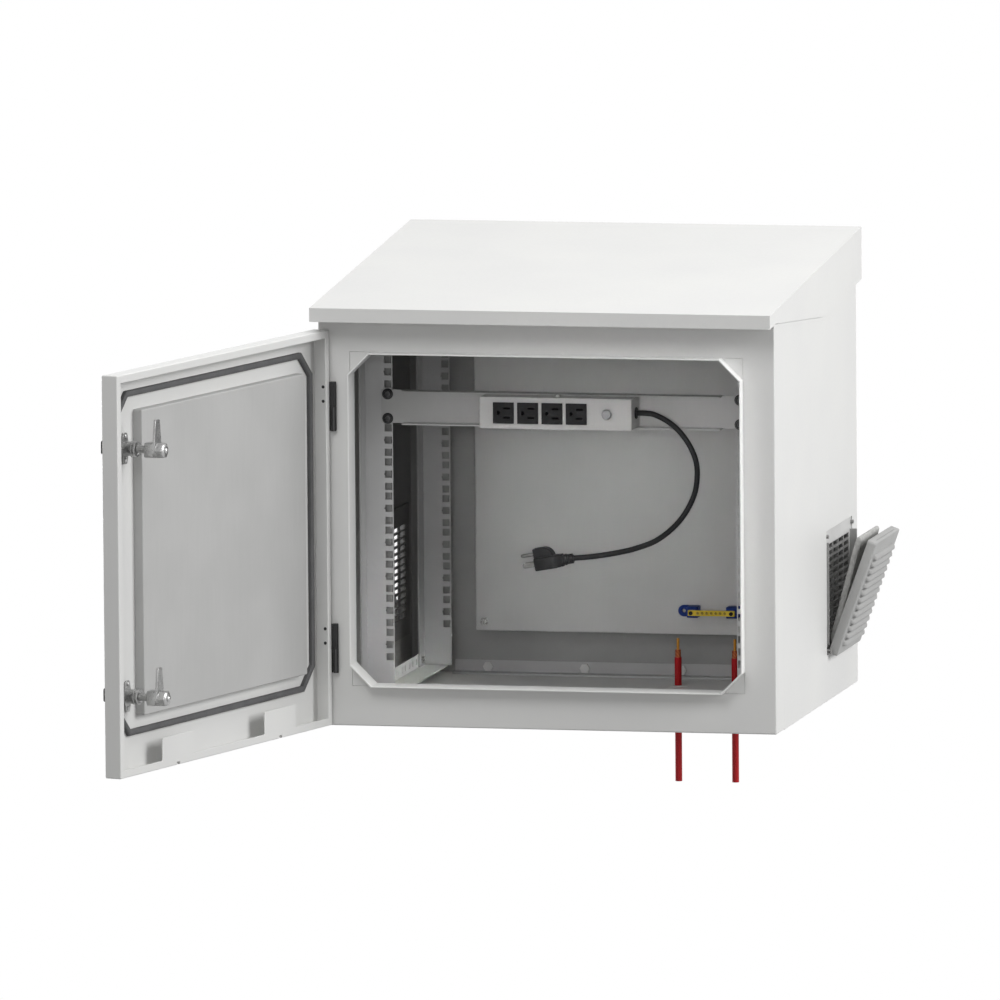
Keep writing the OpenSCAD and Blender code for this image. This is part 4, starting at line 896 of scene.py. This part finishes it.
# 1 on the rays that show a surface or the surround as it is, 0 on those that carry light
def seenRays(tree):
    path = addNode(tree, "ShaderNodeLightPath")
    seen = addNode(tree, "ShaderNodeMath", {0: path.outputs["Is Camera Ray"], 1: path.outputs["Is Glossy Ray"]},
                   operation="ADD")
    return addNode(tree, "ShaderNodeMath", {0: seen.outputs[0], 1: path.outputs["Is Transmission Ray"]},
                   operation="ADD", use_clamp=True).outputs[0]


def addFloor(facts):
    bpy.ops.mesh.primitive_plane_add(size=facts["floorSize"], location=(0, 0, facts["floorZ"]))
    floor = bpy.context.object
    floor.name = "studioFloor"
    made, tree = startFinish("paleFloor")
    spot = addNode(tree, "ShaderNodeNewGeometry")
    far = addNode(tree, "ShaderNodeVectorMath", {0: spot.outputs["Position"]}, operation="LENGTH")
    fade = addNode(tree, "ShaderNodeMapRange", {
        "Value": far.outputs["Value"], "From Min": facts["fadeFrom"], "From Max": facts["fadeTo"],
        "To Min": facts["whiteShare"], "To Max": 1.0})
    matt = addNode(tree, "ShaderNodeBsdfDiffuse", {"Color": hexColor(facts["floor"])})
    white = addNode(tree, "ShaderNodeEmission", {"Color": (1, 1, 1, 1), "Strength": 1.0})
    shown = addNode(tree, "ShaderNodeMixShader", {0: fade.outputs["Result"], 1: matt.outputs[0], 2: white.outputs[0]})
    bounce = addNode(tree, "ShaderNodeBsdfDiffuse", {"Color": hexColor(facts["bounce"])})
    mix = addNode(tree, "ShaderNodeMixShader", {0: seenRays(tree), 1: bounce.outputs[0], 2: shown.outputs[0]})
    clear = addNode(tree, "ShaderNodeBsdfTransparent")
    oneSided = addNode(tree, "ShaderNodeMixShader", {  # from below, the underside stays in view
        0: spot.outputs["Backfacing"], 1: mix.outputs[0], 2: clear.outputs[0]})
    addNode(tree, "ShaderNodeOutputMaterial", {"Surface": oneSided.outputs[0]})
    floor.data.materials.append(made)


def addSurround(facts):
    world = bpy.data.worlds.new("studio")
    bpy.context.scene.world = world
    world.use_nodes = True
    tree = world.node_tree
    tree.nodes.clear()
    dim = addNode(tree, "ShaderNodeBackground", {"Color": (1, 1, 1, 1), "Strength": facts["ambient"]})
    bright = addNode(tree, "ShaderNodeBackground", {"Color": (1, 1, 1, 1), "Strength": 1.0})
    mix = addNode(tree, "ShaderNodeMixShader", {0: seenRays(tree), 1: dim.outputs[0], 2: bright.outputs[0]})
    addNode(tree, "ShaderNodeOutputWorld", {"Surface": mix.outputs[0]})


# the two beams are narrow and reach the inside through the mouth
lampFacts = {
    "frontOverhead": {"place": (-0.4, -3.2, 2.65), "aim": (0, -0.5, 0), "size": 1.8, "power": 52},
    "roofSoftbox": {"place": (0.0, 0.3, 3.3), "aim": (0, 0.3, 0), "size": 3.0, "power": 57},
    "rightSoftbox": {"place": (3.6, -0.8, 1.5), "aim": (0.2, -0.3, 0), "size": 2.2, "power": 140},
    "rearLeftSoftbox": {"place": (-3.4, 1.8, 0.7), "aim": (-0.1, -0.3, 0), "size": 2.2, "power": 105},
    "frontFill": {"place": (0.4, -5.0, 0.4), "aim": (0, -0.4, 0), "size": 1.6, "power": 25},
    "mouthBeam": {"place": (0.61, -2.96, 0.35), "aim": (-0.03, -0.05, -0.02), "size": 0.32, "power": 0.078,
                  "spreadDeg": 5.5},
    "cornerBeam": {"place": (1.63, -2.6, 1.63), "aim": (-0.23, -0.25, -0.23), "size": 0.1, "power": 0.08,
                   "spreadDeg": 5}}


def addLamp(name, facts):
    data = bpy.data.lights.new(name, "AREA")
    data.size = facts["size"]
    data.energy = facts["power"]
    data.spread = math.radians(facts.get("spreadDeg", 180))
    made = bpy.data.objects.new(name, data)
    bpy.context.scene.collection.objects.link(made)
    made.location = facts["place"]
    made.rotation_mode = "QUATERNION"
    made.rotation_quaternion = (Vector(facts["aim"]) - Vector(facts["place"])).to_track_quat("-Z", "Y")


addFloor(stageFacts)
addSurround(stageFacts)
for lampName, lamp in lampFacts.items():
    addLamp(lampName, lamp)
bpy.context.scene.view_settings.view_transform = "Standard"
print("stage lit")
